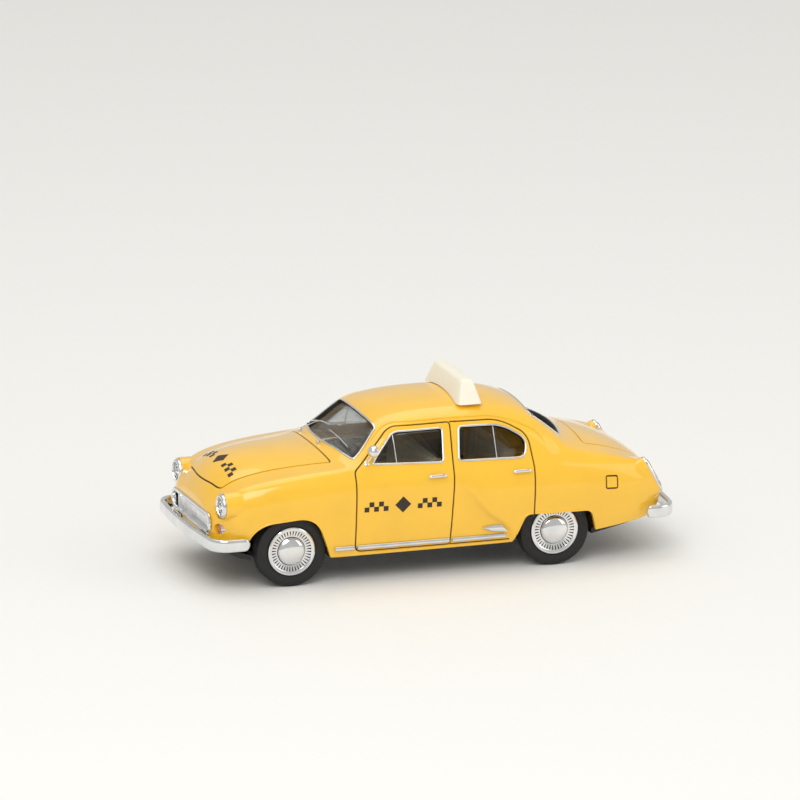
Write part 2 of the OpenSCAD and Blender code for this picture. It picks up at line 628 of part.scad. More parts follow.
module interior_tub() {
    color("saddlebrown") {
        difference() {
            translate([tub_step, -tub_half, floor_z])
                cube([tub_front - tub_step, 2 * tub_half, tub_top - floor_z]);
            translate([tub_step - over, -tub_half + tub_t, floor_z + tub_t])
                cube([tub_front - tub_step - tub_t + over, 2 * (tub_half - tub_t), tub_top]);
        }
        translate([tub_rear, -tub_narrow, floor_z])
            cube([tub_step - tub_rear + fit_gap, 2 * tub_narrow, tub_t]);
    }
}
// Bench seat with a rounded cushion and a leaning back, from its front edge towards the rear
module bench(front, half) {
    depth = 7.6 * kx;
    base = floor_z + tub_t + fit_gap;
    cushion = [[0, 0, 0.6], [0, cushion_h, 1.4], [-depth, cushion_h - 0.8, 0.3],
        [-depth - 0.6, seat_back_h - 0.6, 0.7], [-depth - 2.6, seat_back_h, 0.9], [-depth - 2.6, 0, 0.4]];
    translate([front, half, base]) rotate([90, 0, 0]) linear_extrude(2 * half)
        polygon(rounded(cushion, steps = 4));
}
module front_seat() color("peru") bench(9.6 * kx, tub_half - tub_t - 0.9);
module rear_seat() color("peru") bench(-8.6 * kx, tub_narrow - 0.6);
module dashboard() {
    top = 25 * kz - floor_z;
    half = tub_half - tub_t - 0.5;
    shape = [[0, 5, 0.5], [0, top, 1], [-3.4, top - 0.4, 1.2], [-4, top - 3, 0.8], [-1.4, top - 5, 0.8],
        [-1.2, 5, 0.3]];
    color("tan") translate([dash_x, half, floor_z]) rotate([90, 0, 0]) linear_extrude(2 * half)
        polygon(rounded(shape, steps = 4));
}
module steering_wheel() {
    r = steering_wheel_d / 2;
    color("ivory") translate([dash_x - 7.2, 7 * ky, 23.2 * kz]) rotate([0, 118, 0]) {
        rotate_extrude($fn = 64) translate([r - 0.35, 0]) circle(r = 0.35, $fn = 24);
        for (a = [90, 210, 330]) rotate([0, 0, a]) translate([0, -0.2, -0.2]) cube([r - 0.3, 0.4, 0.4]);
        cylinder(r = 0.8, h = 0.8, center = true, $fn = 32);
        cylinder(r = 0.4, h = 4, $fn = 32);
    }
}

// Front end

module grille() {
    depth = 1.2;
    pitch = 2 * (grille_half + 0.4) / (grille_bars + 1);
    color("silver") translate([0, 0, grille_z]) {
        facing_front(nose_x + fit_gap) linear_extrude(0.4) difference() {
            slot(grille_half, grille_r + grille_rim);
            slot(grille_half, grille_r - 0.5);
        }
        facing_front(nose_x - depth) linear_extrude(depth + 0.2) difference() {
            slot(grille_half, grille_r - 0.1);
            slot(grille_half, grille_r - 0.5);
        }
        for (k = [1:grille_bars])
            translate([nose_x - depth, (k - (grille_bars + 1) / 2) * pitch - 0.2, -grille_r + 0.3])
                cube([0.9, 0.4, 2 * grille_r - 0.6]);
        translate([nose_x - depth, -grille_half, -0.25]) cube([0.4, 2 * grille_half, 0.5]);
    }
}
module headlamp_bezels() {
    profile = [[lamp_r - 1, -2], [lamp_r - 0.54, -2], [lamp_r - 0.54, fit_gap], [lamp_r, fit_gap],
        [lamp_r, 0.5], [lamp_r - 0.5, 0.9], [lamp_r - 0.8, 0.9], [lamp_r - 0.8, 0.3], [lamp_r - 1, 0.3]];
    color("silver") pair() translate([pod_x, lamp_y, lamp_z]) rotate([0, 90, 0])
        rotate_extrude($fn = 64) polygon(profile);
}
module headlamp_lenses() {
    r = lamp_r - 1.04;
    rise = 0.7;
    ball = (r * r + rise * rise) / (2 * rise);
    color("white") pair() translate([pod_x, lamp_y, lamp_z]) rotate([0, 90, 0]) {
        translate([0, 0, -1.6]) cylinder(r = r, h = 1.8, $fn = 48);
        translate([0, 0, 0.2]) intersection() {
            translate([0, 0, rise - ball]) sphere(r = ball, $fn = 64);
            cylinder(r = r, h = 2, $fn = 48);
        }
    }
}
module front_indicators() {
    r = indicator_r - fit_gap;
    color("orange") pair() translate([pod_x - 1.2, indicator_y, indicator_z]) rotate([0, 90, 0]) {
        cylinder(r = r, h = 1.6, $fn = 32);
        translate([0, 0, 1.6]) scale([1, 1, 0.7]) sphere(r = r, $fn = 32);
    }
}

// Bumpers: a wide bow, round corners and straight ends, all tangent

// Outer edge of the left half in plan, from the middle to the end: place and outward direction
function bumper_edge(tip, end_x) = let (
    bow_r = 150,
    corner_r = 4.5,
    corner_y = bumper_half_width - corner_r,
    bow_angle = asin(corner_y / (bow_r - corner_r)),
    corner_x = tip - bow_r + sqrt(pow(bow_r - corner_r, 2) - corner_y * corner_y))
    concat(
        [for (k = [0:4]) let (a = bow_angle * k / 5) [tip - bow_r + bow_r * cos(a), bow_r * sin(a), a]],
        [for (k = [0:7]) let (a = bow_angle + (90 - bow_angle) * k / 7)
            [corner_x + corner_r * cos(a), corner_y + corner_r * sin(a), a]],
        [[end_x, bumper_half_width, 90]]);
module bumper(tip, end_x) {
    left = bumper_edge(tip, end_x);
    n = len(left);
    edge = concat([for (i = [n - 1:-1:1]) left[i]], [for (e = left) [e[0], -e[1], -e[2]]]);
    h = bumper_h / 2;
    blade = [[-bumper_t, -h], [-0.35 * bumper_t, -h], [0, -0.45 * h], [0, 0.45 * h], [-0.35 * bumper_t, h],
        [-bumper_t, h]];
    loft([for (e = edge)
        [for (b = blade) [e[0] + b[0] * cos(e[2]), e[1] + b[0] * sin(e[2]), bumper_z + b[1]]]]);
    pair() translate([tip - bumper_t - peg_length, peg_y - peg_w / 2, bumper_z - peg_h / 2])
        cube([peg_length + bumper_t / 2, peg_w, peg_h]);
}
module front_bumper() color("silver") bumper(overall_length / 2, 46.6 * kx);
module rear_bumper() color("silver") mirror([1, 0, 0]) bumper(overall_length / 2, 48.4 * kx);

// Lamps of the tail

module tail_lamp_bezels() {
    color("silver") pair() at_tail_lamp() difference() {
        union() {
            translate([0, 0, 0.24]) linear_extrude(0.6) slot(tail_half, tail_r + 0.4);
            translate([0, 0, -1.3]) linear_extrude(1.6) slot(tail_half, tail_r - 2 * fit_gap);
        }
        translate([0, 0, -0.6]) linear_extrude(3) slot(tail_half, tail_r - 0.45);
    }
}
module tail_lamp_lenses() {
    color("red") pair() at_tail_lamp() translate([0, 0, -0.6 + fit_gap]) linear_extrude(1.9)
        slot(tail_half, tail_r - 0.45 - fit_gap);
}

// Bright work on the doors

// Round mirror on a stem at the front corner of the driver's door, its glass to the rear
module door_mirror() {
    r = mirror_d / 2;
    depth = 0.75 * mirror_d;
    centre = [16.6 * kx, 19 * ky, 30.2 * kz];
    rim = 0.35 * depth;
    dome = [for (a = [0:10:90]) [r * cos(a), rim + (depth - rim) * sin(a)]];
    cup = concat([[0, 0], [r - 0.1, 0], [r, 0.15]], dome);
    color("silver") {
        translate(centre) rotate([0, 90, 0]) rotate_extrude($fn = 48) polygon(cup);
        hull() {
            translate(side_point(18.4, 27, 0.3 + seat_gap)) sphere(r = 0.3, $fn = 24);
            translate(centre + [0.4 * depth, 0, -0.7 * r]) sphere(r = 0.25, $fn = 24);
        }
    }
}

module door_handles() {
    r = 0.36;
    stand = 0.75;
    color("silver") pair() for (h = [[2.2, 23.6], [-18, 23.2]]) {
        root = side_point(h[0], h[1], 0);
        translate(root) {
            translate([0, stand, 0]) rod_x(r, -handle_length / 2, handle_length / 2);
            for (s = [-1, 1]) translate([s * (handle_length / 2 - 0.5), fit_gap, 0]) rod_y(0.3, 0, stand);
        }
    }
}
module sill_mouldings() {
    low = 8.35 - moulding_h / 2;
    runs = [[26.4, 21.9], [21.1, -0.8], [-1.5, -14.2]];
    color("silver") pair() for (r = runs) {
        parts = max(1, ceil((r[0] - r[1]) / 3));
        band([for (k = [0:parts]) [r[1] + (r[0] - r[1]) * k / parts, low, low + moulding_h]], moulding_t);
    }
}
module stone_guards() {
    wedge = [[-14.6, 9.2, 9.6], [-13.6, 9.2, 11], [-12.6, 9.3, 11.1], [-11, 9.5, 11.1], [-8.8, 10.5, 10.9]];
    color("silver") pair() band(wedge, moulding_t);
}

// Axles, wheels and tyres

module axle(x) translate([x, 0, axle_z]) rod_y(axle_d / 2, -axle_half, axle_half);
module front_axle() color("gray") axle(front_axle_x);
module rear_axle() color("gray") axle(rear_axle_x);

// Wheel with its outer face towards +Y and the middle of its tyre at y = 0
module wheel() {
    r = rim_d / 2;
    face = tyre_w / 2;
    bore = axle_d / 2 + fit_gap / 2;
    depth = axle_half - track / 2 + fit_gap;
    hub = track / 2 - hub_inner;
    half = face - 0.3;
    barrel = [[bore, -hub], [bore + 1, -hub], [bore + 1, 0.2], [r - 0.9, 0.2], [r - 0.9, -half], [r, -half]];
    trim_ring = [[r, half], [r - 0.15, face], [r - 0.9, face + 0.05], [r - 1.3, face - 0.25],
        [r - 2, face - 0.55], [r - 2.4, face - 0.5]];
    cap = [[r - 2.6, face - 0.1], [r - 3.4, face + 0.45], [r - 4.4, face + 0.7], [0, face + 0.8], [0, depth],
        [bore, depth]];
    rotate([-90, 0, 0]) difference() {
        rotate_extrude($fn = 96) polygon(concat(barrel, trim_ring, cap));
        for (k = [0:slot_count - 1]) rotate([0, 0, 360 * k / slot_count])
            translate([r - 1.95, -0.22, face - 1]) cube([0.75, 0.44, 2]);
    }
}
module tyre() {
    r = tyre_d / 2;
    seat = rim_d / 2 + fit_gap;
    half = tyre_w / 2;
    wall = r - seat;
    // Outer half of the section from the middle of the tread to the seat, with one groove
    section = [[r, 0.4], [r - 0.25, 0.45], [r - 0.25, 0.7], [r, 0.75], [r, half - 0.9],
        [r - 0.35, half - 0.45], [seat + wall * 0.55, half], [seat + 0.4, half], [seat, half - 0.3]];
    inner = [for (i = [len(section) - 1:-1:0]) [section[i][0], -section[i][1]]];
    rotate([-90, 0, 0]) rotate_extrude($fn = 96) polygon(concat(inner, section));
}
module at_wheel(x, side) translate([x, side * track / 2, axle_z])
    mirror([0, side < 0 ? 1 : 0, 0]) children();
module wheel_front_left() color("lightgray") at_wheel(front_axle_x, 1) wheel();
module wheel_front_right() color("lightgray") at_wheel(front_axle_x, -1) wheel();
module wheel_rear_left() color("lightgray") at_wheel(rear_axle_x, 1) wheel();
module wheel_rear_right() color("lightgray") at_wheel(rear_axle_x, -1) wheel();
module tyre_front_left() color("black") at_wheel(front_axle_x, 1) tyre();
module tyre_front_right() color("black") at_wheel(front_axle_x, -1) tyre();
module tyre_rear_left() color("black") at_wheel(rear_axle_x, 1) tyre();
module tyre_rear_right() color("black") at_wheel(rear_axle_x, -1) tyre();

body_shell();
window_glazing();
windscreen_surround();
rear_screen_surround();
side_window_surrounds();
quarter_light_bars();
wipers();
taxi_sign();
chassis();
chassis_screws();
interior_tub();
front_seat();
rear_seat();
dashboard();
steering_wheel();
grille();
headlamp_bezels();
headlamp_lenses();
front_indicators();
front_bumper();
rear_bumper();
tail_lamp_bezels();
tail_lamp_lenses();
door_handles();
door_mirror();
sill_mouldings();
stone_guards();
front_axle();
rear_axle();
wheel_front_left();
wheel_front_right();
wheel_rear_left();
wheel_rear_right();
tyre_front_left();
tyre_front_right();
tyre_rear_left();
tyre_rear_right();
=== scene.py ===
"""Toy taxi: the looks of a die-cast saloon at 1:43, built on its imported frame."""
import math

import bmesh
import bpy
import numpy as np
from mathutils import Matrix, Vector


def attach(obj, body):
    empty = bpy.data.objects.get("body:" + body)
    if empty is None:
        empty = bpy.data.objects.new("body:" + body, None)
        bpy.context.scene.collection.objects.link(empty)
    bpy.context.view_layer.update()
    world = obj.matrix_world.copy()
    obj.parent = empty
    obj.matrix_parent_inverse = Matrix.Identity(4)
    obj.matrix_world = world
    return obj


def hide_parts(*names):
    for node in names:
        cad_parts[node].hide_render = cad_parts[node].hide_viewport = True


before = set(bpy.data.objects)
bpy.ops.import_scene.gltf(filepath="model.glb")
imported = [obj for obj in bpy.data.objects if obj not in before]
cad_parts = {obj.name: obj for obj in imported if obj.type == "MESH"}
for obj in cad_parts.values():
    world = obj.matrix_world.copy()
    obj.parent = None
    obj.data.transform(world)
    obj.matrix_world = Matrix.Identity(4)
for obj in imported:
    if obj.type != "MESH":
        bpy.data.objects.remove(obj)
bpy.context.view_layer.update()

bl_info = {
    "name": "Toy Taxi",
    "version": (1, 0, 0),
    "blender": (4, 5, 0),
    "location": "3D View > Sidebar > Toy Taxi",
    "description": "Dresses the frame of a die-cast toy taxi",
    "category": "Add Mesh",
}

# All shapes are worked out in millimetres and stored in metres
MM = 0.001

# Body lines from tail to nose: a place along the car and a height or a half width
BODY_END = 53.7
HALF_WIDTH = 20.95
LAST_LINE = 9
SIDE_WIDTH = ((-BODY_END, 12.6), (-53.0, 15.2), (-51.2, 17.4), (-47, 18.9), (-38, 20.1), (-26, 20.8),
              (0, HALF_WIDTH), (28, HALF_WIDTH), (38, 20.6), (45, 19.8), (50, 18.3), (52.4, 16.3),
              (BODY_END, 13.2))
BOTTOM_HEIGHT = ((-BODY_END, 11.8), (-52, 10.7), (-48, 9.1), (-36, 7.7), (-16, 6.5), (26, 6.3), (46, 7.4),
                 (BODY_END, 9.4))
CREST_HEIGHT = ((-BODY_END, 15.6), (-52.4, 18.2), (-50.4, 21.0), (-47.8, 22.8), (-43, 23.6), (-37, 24.3),
                (-28, 25.4), (-8, 26.0), (14, 26.4), (24, 26.1), (34, 25.4), (43, 24.2), (48, 22.9),
                (51, 20.9), (BODY_END, 16.8))
CENTRE_HEIGHT = ((-BODY_END, 16.4), (-52.6, 19.0), (-50, 21.6), (-46, 24.0), (-40, 26.3), (-34.5, 27.4),
                 (-31, 29.0), (-26, 33.0), (-22, 35.8), (-16, 37.7), (-5, 38.6), (5, 38.3), (12, 37.2),
                 (15.6, 35.6), (24.6, 28.8), (28, 28.6), (38, 28.2), (45, 27.2), (49, 25.6), (52, 22.6),
                 (BODY_END, 18.0))
RAIL_HEIGHT = ((-BODY_END, 16.0), (-52.4, 18.6), (-50, 20.8), (-46, 22.8), (-40, 24.8), (-34, 26.0),
               (-31, 27.0), (-26, 31.0), (-22, 33.8), (-16, 35.2), (-5, 36.0), (5, 35.9), (11.5, 35.0),
               (14.6, 33.8), (20.8, 27.8), (23, 26.9), (30, 26.3), (40, 25.4), (47, 23.9), (51, 21.2),
               (BODY_END, 17.4))
RAIL_WIDTH = ((-BODY_END, 8), (-50, 11.8), (-44, 12.8), (-34, 13.6), (-27, 13.9), (-21, 13.4), (-5, 13.7),
              (9, 13.5), (14.6, 13.5), (20.8, 15.6), (24, 15.0), (30, 13.4), (44, 12.4), (51, 11),
              (BODY_END, 8.6))
FLANK_HEIGHT = ((-BODY_END, 15.8), (-52.4, 18.4), (-50, 21.2), (-46, 23.0), (-40, 24.4), (-34, 25.6),
                (-30, 26.6), (-25, 29.4), (-20, 30.9), (-5, 31.4), (8, 31.2), (13, 30.4), (20, 27.0),
                (24, 26.4), (34, 25.7), (43, 24.5), (48, 23.1), (51, 21.0), (BODY_END, 17.1))
FLANK_WIDTH = ((-BODY_END, 10), (-50.5, 14.2), (-46, 15.4), (-36, 16.2), (-28, 16.4), (-20, 15.9),
               (-5, 16.0), (10, 16.0), (18, 16.9), (23, 17.0), (32, 16.4), (43, 15.6), (49, 14.4),
               (BODY_END, 10.6))
# Lines of the side, from crest to edge: inset and share of the height
SIDE_INSET = (2.7, 0.95, 0.12, 0, 0.35, 1.05)
SIDE_LEVEL = (1, 0.87, 0.66, 0.4, 0.16, 0)
# Swell of the rear wing by height: where it starts, and how far the doors lie inside it
SWELL_START = ((6, -16), (9.6, -14.6), (11.3, -13), (13.8, -9.3), (17.5, -6), (21, -3.6))
SWELL_SIZE = ((6, 0.6), (10, 0.75), (16, 0.7), (19, 0.4), (23, 0))
SWELL_LENGTH = 1.3
# Crown of the roof between its centre and its rail: share of the rail's width, and of the fall down to it
CROWN_PLACE = 0.6
CROWN_FALL = 0.3
# Length over which the corners of the lines are rounded, short at the ends and round the screens, and the
# bell-shaped weights of that rounding
BLEND = ((-BODY_END, 0.6), (-49, 1.2), (-44, 2.6), (-37, 2.4), (-33, 1.2), (-20, 1.6), (-12, 3), (5, 3),
         (12, 1.2), (27, 1.2), (33, 3), (44, 2.6), (50, 1.2), (BODY_END, 0.6))
SPREAD = np.linspace(-2.4, 2.4, 33)
WEIGHT = np.exp(-SPREAD ** 2 / 2) / np.exp(-SPREAD ** 2 / 2).sum()
# Small steps along the car and across the lines, from which the slopes of the body are taken
PLACE_STEP = 0.05
LINE_STEP = 0.03
# Line at which the side begins, and how often the search for a height is halved
SIDE_LINE = 1.2
HALVINGS = 22

# Outlines on the side of the body: place, height and corner radius
FRONT_WINDOW = ((17.2, 26.9, 0.9), (0.3, 26.2, 0.9), (-0.4, 33.3, 0.9), (11.4, 33.1, 1.6))
REAR_WINDOW = ((-3.4, 26.2, 0.9), (-19.2, 25.8, 1.4), (-20.2, 29.6, 2.2), (-14.6, 33.0, 3),
               (-4.3, 33.3, 0.9))
FRONT_DOOR = ((21.5, 25.7, 0.8), (21.5, 7.3, 1.6), (-1.1, 7.3, 0.6), (-2.4, 34.4, 0.8), (12, 34.2, 2),
              (19.3, 27.2, 1.2))
REAR_DOOR = ((-2.4, 34.4, 0), (-14.2, 34.1, 3), (-20.6, 30.6, 2.4), (-21.2, 24, 1.6), (-20.8, 12.2, 0))
REAR_DOOR_FOOT = ((-1.1, 7.3, 0), (-15.4, 7.3, 0))
FUEL_FLAP = ((-38.4, 20.2, 0.4), (-41.2, 20, 0.4), (-41.2, 17.2, 0.4), (-38.4, 17.4, 0.4))
GUTTER = ((18.4, 29.6, 0), (12.8, 34.9, 3), (-3, 35.3, 4), (-15, 34.9, 5), (-23, 31.2, 2), (-24.6, 28.4, 0))


def both_sides(first, near, far, last):
    """Outline across the car, from its two middle points and the left corners between them."""
    return first, near, far, last, *((x, -line, r) for x, line, r in (far, near))


# Outlines on the top of the body: place, body line and corner radius
WINDSCREEN = both_sides((24.8, 0, 1.5), (20.9, 2.3, 0.5), (14.5, 1.8, 0.5), (15.8, 0, 1.2))
REAR_SCREEN = both_sides((-32, 0, 1.5), (-29.6, 1.75, 0.6), (-22.6, 1.6, 0.6), (-22.4, 0, 1))
BONNET = both_sides((26.6, 0, 1), (25.4, 1.9, 0.5), (50.6, 1.9, 0.7), (52.2, 0, 1))
BOOT = both_sides((-52.4, 0, 1), (-51.8, 1.5, 0.5), (-35.4, 1.7, 0.7), (-36, 0, 1))

AHEAD = (1, 0, 0)

# Wheels: the main sizes, then the radii and heights that the profiles share
TYRE_D = 16.4
TYRE_W = 4.1
RIM_D = 11.4
TRACK = 32.6
AXLE_X = {"front": 36.15, "rear": -26.65}
AXLE_Z = TYRE_D / 2
RIM_R = RIM_D / 2
WHEEL_FACE = TYRE_W / 2
RIM_WALL = 0.9
RING_WIDTH = 1.1
BORE_R = 1.04
HUB_R = BORE_R + 1
HUB_BACK = -3.4
WEB_BACK = 0.2
WEB_FRONT = 0.7
CAP_R = 3.2
CAP_FOOT = 0.75
RIB_R = 3.62
RIB_HALF = 0.21
TREAD_GROOVES = (0.62, 1.18)
GROOVE_DEPTH = 0.22
# Wheel arches: place from the axle, height and corner radius; and the height at which their lips begin
ARCH = {"front": ((12.85, 3, 0), (9.45, 14.9, 5.2), (-5.15, 16.3, 4.6), (-10.25, 3, 0)),
        "rear": ((12.05, 3, 0), (7.75, 13.1, 1.4), (-8.05, 12.7, 1.4), (-11.05, 3, 0))}
LIP_FOOT = 8.2
# Lamps of the left side: places and radii
HEADLAMP = (51.6, 15.2, 19.2)
LAMP_R = 2.8
INDICATOR = (50.4, 15, 13.9)
INDICATOR_R = 1.11
INDICATOR_LENGTH = 1.6
TAIL_LAMP = (-50.1, 16.3, 18.7)
TAIL_LEAN = math.radians(61)
TAIL_HALF = 3
TAIL_R = 1.3
TAIL_BARS = (-1.5, 1.5)
# Grille
GRILLE_Z = 14.3
GRILLE_HALF = 10.8
GRILLE_R = 2.0
GRILLE_BARS = 25
# Bumpers, their ends at the sides, and the pegs that hold them
BUMPER_Z = 11
BUMPER_TIP = 56.5
BUMPER_HALF = 20.2
BUMPER_T = 1.3
BUMPER_H = 2.9
BUMPER_BOW = 150
BUMPER_CORNER = 4.5
BUMPER_END = {"front": 46.6, "rear": 48.4}
PEG_Y = 8
PEG_HALF = (1.2, 0.7)
PEG_LENGTH = 4
# Shell: its grids of points, outside, inside and under the sign; its wall and how far the inside is drawn down;
# the cut under the nose, the screw posts, and the dark walls in the front wheel wells, which are painted shade
# there
OUTER_GRID = (230, 181)
INNER_GRID = (110, 81)
SIGN_GRID = (160, 121)
SHELL_WALL = 1
SHELL_DROP = 6
APRON_X = 45.5
APRON_FOOT = 9.5
POST_X = (47.6, -43)
POST_FOOT = (8.3, 8.8)
POST_R = 2
POST_CLEAR = 0.3
WELL_SHADE_LOW = (26, 12.2, 9.4)
WELL_SHADE_HIGH = (51.5, 12.7, 17)
# Cutters: how far they reach past the side and past a lamp, between which widths they cut the side windows,
# how far they reach outside and inside the screens, and in which direction
PAST_SIDE = 25
PAST_LAMP = 4
SIDE_CUT = (10, 22)
SCREEN_CUT = (6, -3)
SCREEN_OUT = ((WINDSCREEN, (0.6, 0, 0.8)), (REAR_SCREEN, (-0.6, 0, 0.8)))
# Canopy of the windows: ends, outermost line, and how far its two faces lie inside the shell
CANOPY_ENDS = (-32.5, 25.1)
CANOPY_LINE = 3.75
CANOPY_FACES = (0.05, 0.8)
# Window trim: lift of the frames, depth of the seals, and the bars' depth, places and heights
TRIM_LIFT = 0.06
SEAL_DEPTH = 0.5
BAR_DEPTH = 0.42
QUARTER_BARS = ((11.3, 26.9, 33), (-12.6, 26.2, 33.2))
# Wipers: lines and place of the pivots; reach of arms and blades along the car and across the lines
WIPER_LINES = (-1.1, 0.4)
WIPER_X = 24.9
ARM_REACH = (-3.5, 0.4)
BLADE_X = 21.6
BLADE_SHIFT = -0.15
BLADE_REACH = (-0.8, 1.25)
# Bright work on the doors; the stone guard has a place, a lower and an upper edge
HANDLES = ((2.2, 23.6), (-18, 23.2))
HANDLE_HALF = 2.2
HANDLE_FEET = (-1.7, 1.7)
SILL_RUNS = ((26.4, 21.9), (21.1, -0.8), (-1.5, -14.2))
SILL_Z = 8.35
STONE_GUARD = ((-14.6, 9.2, 9.6), (-13.6, 9.2, 11), (-12.6, 9.3, 11.1), (-11, 9.5, 11.1), (-8.8, 10.5, 10.9))
MIRROR = (16.6, 19, 30.2)
MIRROR_R = 1.35
MIRROR_DEPTH = 2.02
MIRROR_FOOT = (18.4, 27.0)
# Cabin: its floor, the benches' front ends and half widths, their section, and the dashboard
FLOOR_TOP = 12.54
BENCHES = {"front_seat": (9.6, 14.2), "rear_seat": (-8.6, 11.5)}
BENCH_DEPTH = 7.6
BENCH_HEIGHT = 5.6
BENCH_BACK = 13.2
PLEAT_DEPTH = 0.16
BENCH_EDGE = 0.45
DASH_X = 20.4
DASH_BASE = 11.6
DASH_RISE = 13.4
DASH_HALF = 14.5
DIALS = (5, 7, 9, -7)
# Markings: two groups of checkers with a diamond between them, on both front doors and across the bonnet
INK_LIFT = 0.03
MARK_HALF = 9.2
MARK_SQUARES = 5
DIAMOND_RISE = 1.2
DIAMOND_R = 1.9
DOOR_MARK = (10.45, 16.5)
BONNET_MARK_X = 48.2
# Roof sign: place, foot, top, length and depth at foot and top, rounding of its top, and gap over the roof
SIGN_X = -8.4
SIGN_FOOT = 37.2
SIGN_TOP = 42.4
SIGN_LENGTH = (23.4, 18)
SIGN_DEPTH = (6.2, 3)
SIGN_EDGE = 0.7
SIGN_GAP = 0.16
# Camera of the photo: degrees round from the left side to the nose, above the car, and of roll; the point
# of the front wheel it was fitted to, and how far right of and above that the middle of the picture lies
CAMERA_TURN = 19.8
CAMERA_LIFT = 15.5
CAMERA_ROLL = 0.92
CAMERA_LENS = 902
CAMERA_DISTANCE = 4500
AIM_FROM = (AXLE_X["front"], 18.4, AXLE_Z)
AIM_SHIFT = (24.26, 34.06)
# Floor, soft lights with their place and size in metres and their power, and the light from all around
FLOOR_HALF = 2500
FLOOR_DEPTH = 10
LIGHTS = (("Key softbox", (0.3, 0.5, 0.6), 0.5, 2.3), ("Fill softbox", (-0.7, 0.4, 0.35), 0.6, 1.0),
          ("Top softbox", (0.0, -0.15, 0.8), 0.7, 1.9))
SKY_COLOUR = "#EFEFEC"
SKY_STRENGTH = 0.68

# Materials by their short names, filled in by make_materials
MATERIALS = {}


# Shape of the body

def line_at(line, x):
    """Value of a body line at x, its corners rounded."""
    x = np.asarray(x, float)[..., None]
    places, values = np.transpose(line)
    width = np.interp(x, *np.transpose(BLEND))
    return np.interp(x + width * SPREAD, places, values) @ WEIGHT


def controls(x):
    """Control points of the cross-sections at x, from the mirrored crown line to one past the edge."""
    centre = line_at(CENTRE_HEIGHT, x)
    rail = np.stack([line_at(RAIL_WIDTH, x), line_at(RAIL_HEIGHT, x)], -1)
    crown = np.stack([CROWN_PLACE * rail[:, 0], centre - CROWN_FALL * (centre - rail[:, 1])], -1)
    flank = np.stack([line_at(FLANK_WIDTH, x), line_at(FLANK_HEIGHT, x)], -1)
    rows = [crown * (-1, 1), np.stack([0 * centre, centre], -1), crown, rail, flank]
    low = line_at(BOTTOM_HEIGHT, x)
    high = line_at(CREST_HEIGHT, x)
    width = line_at(SIDE_WIDTH, x)
    for inset, level in zip(SIDE_INSET, SIDE_LEVEL):
        rows.append(np.stack([width - inset, low + (high - low) * level], -1))
    rows.append(2 * rows[-1] - rows[-2])
    return np.stack(rows, 1)


def wing_step(x, z):
    """How far the side lies inside the swell of the rear wing."""
    t = np.clip((np.interp(z, *np.transpose(SWELL_START)) - x) / SWELL_LENGTH, 0, 1)
    return np.interp(z, *np.transpose(SWELL_SIZE)) * (1 - t * t * (3 - 2 * t))


def section(x, v):
    """Points [y, z] of the body at x, v lines out from the centre of the roof: a cubic B-spline."""
    x, v = np.broadcast_arrays(np.asarray(x, float), np.asarray(v, float))
    stations, which = np.unique(x.ravel(), return_inverse=True)
    net = controls(stations)
    u = np.abs(v).ravel()
    i = np.minimum(np.floor(u).astype(int), LAST_LINE - 1)
    f = (u - i)[:, None]
    basis = ((1 - f) ** 3, 3 * f ** 3 - 6 * f ** 2 + 4, 3 * f ** 2 - 3 * f ** 3 + 3 * f + 1, f ** 3)
    points = sum(b * net[which, i + j] for j, b in enumerate(basis)) / 6
    points[:, 0] *= 1 - wing_step(x.ravel(), points[:, 1]) / HALF_WIDTH
    points[:, 0] *= np.where(v.ravel() < 0, -1, 1)
    return points.reshape(x.shape + (2,))


def unit(vectors):
    return vectors / np.linalg.norm(vectors, axis=-1, keepdims=True)


def skin(x, v, grow):
    """Points of the body, grown within its cross-sections."""
    x, v = np.broadcast_arrays(np.asarray(x, float), np.asarray(v, float))
    points = section(x, v)
    step = section(x, v + LINE_STEP) - section(x, v - LINE_STEP)
    out = unit(np.stack([-step[..., 1], step[..., 0]], -1))
    return np.concatenate([x[..., None], points + grow * out], -1)


def on_body(x, v, lift=0.0):
    """Points on the body, lifted off its surface, and the surface's normals."""
    x, v = np.broadcast_arrays(np.asarray(x, float), np.asarray(v, float))
    along = skin(x + PLACE_STEP, v, 0) - skin(x - PLACE_STEP, v, 0)
    across = skin(x, v + LINE_STEP, 0) - skin(x, v - LINE_STEP, 0)
    normals = unit(np.cross(along, across))
    return skin(x, v, 0) + normals * np.asarray(lift)[..., None], normals


def line_of_height(x, z):
    """Line number at which the side of the body has the height z."""
    x, z = np.broadcast_arrays(np.asarray(x, float), np.asarray(z, float))
    low = np.full(x.shape, SIDE_LINE)
    high = np.full(x.shape, float(LAST_LINE))
    for _ in range(HALVINGS):
        middle = (low + high) / 2
        above = section(x, middle)[..., 1] > z
        low = np.where(above, middle, low)
        high = np.where(above, high, middle)
    return (low + high) / 2


def on_side(x, z, lift=0.0):
    """Points and normals of the left side."""
    return on_body(x, line_of_height(x, z), lift)


# Outlines and solids, as pairs of points and faces

def bend(start, knee, end, t):
    """Points at t from 0 to 1 on a curve that leaves for the knee and comes from it."""
    return (1 - t) ** 2 * start + 2 * t * (1 - t) * knee + t * t * end


def rounded(corners, steps=8):
    """Outline with rounded corners, from points with a corner radius."""
    points = []
    for i, (x, z, r) in enumerate(corners):
        here = np.array((x, z), float)
        before = np.array(corners[i - 1][:2]) - here
        after = np.array(corners[(i + 1) % len(corners)][:2]) - here
        if r == 0:
            points.append(here)
            continue
        start = here + before * r / np.linalg.norm(before)
        end = here + after * r / np.linalg.norm(after)
        points.extend(bend(start, here, end, np.linspace(0, 1, steps + 1)[:, None]))
    return np.array(points)


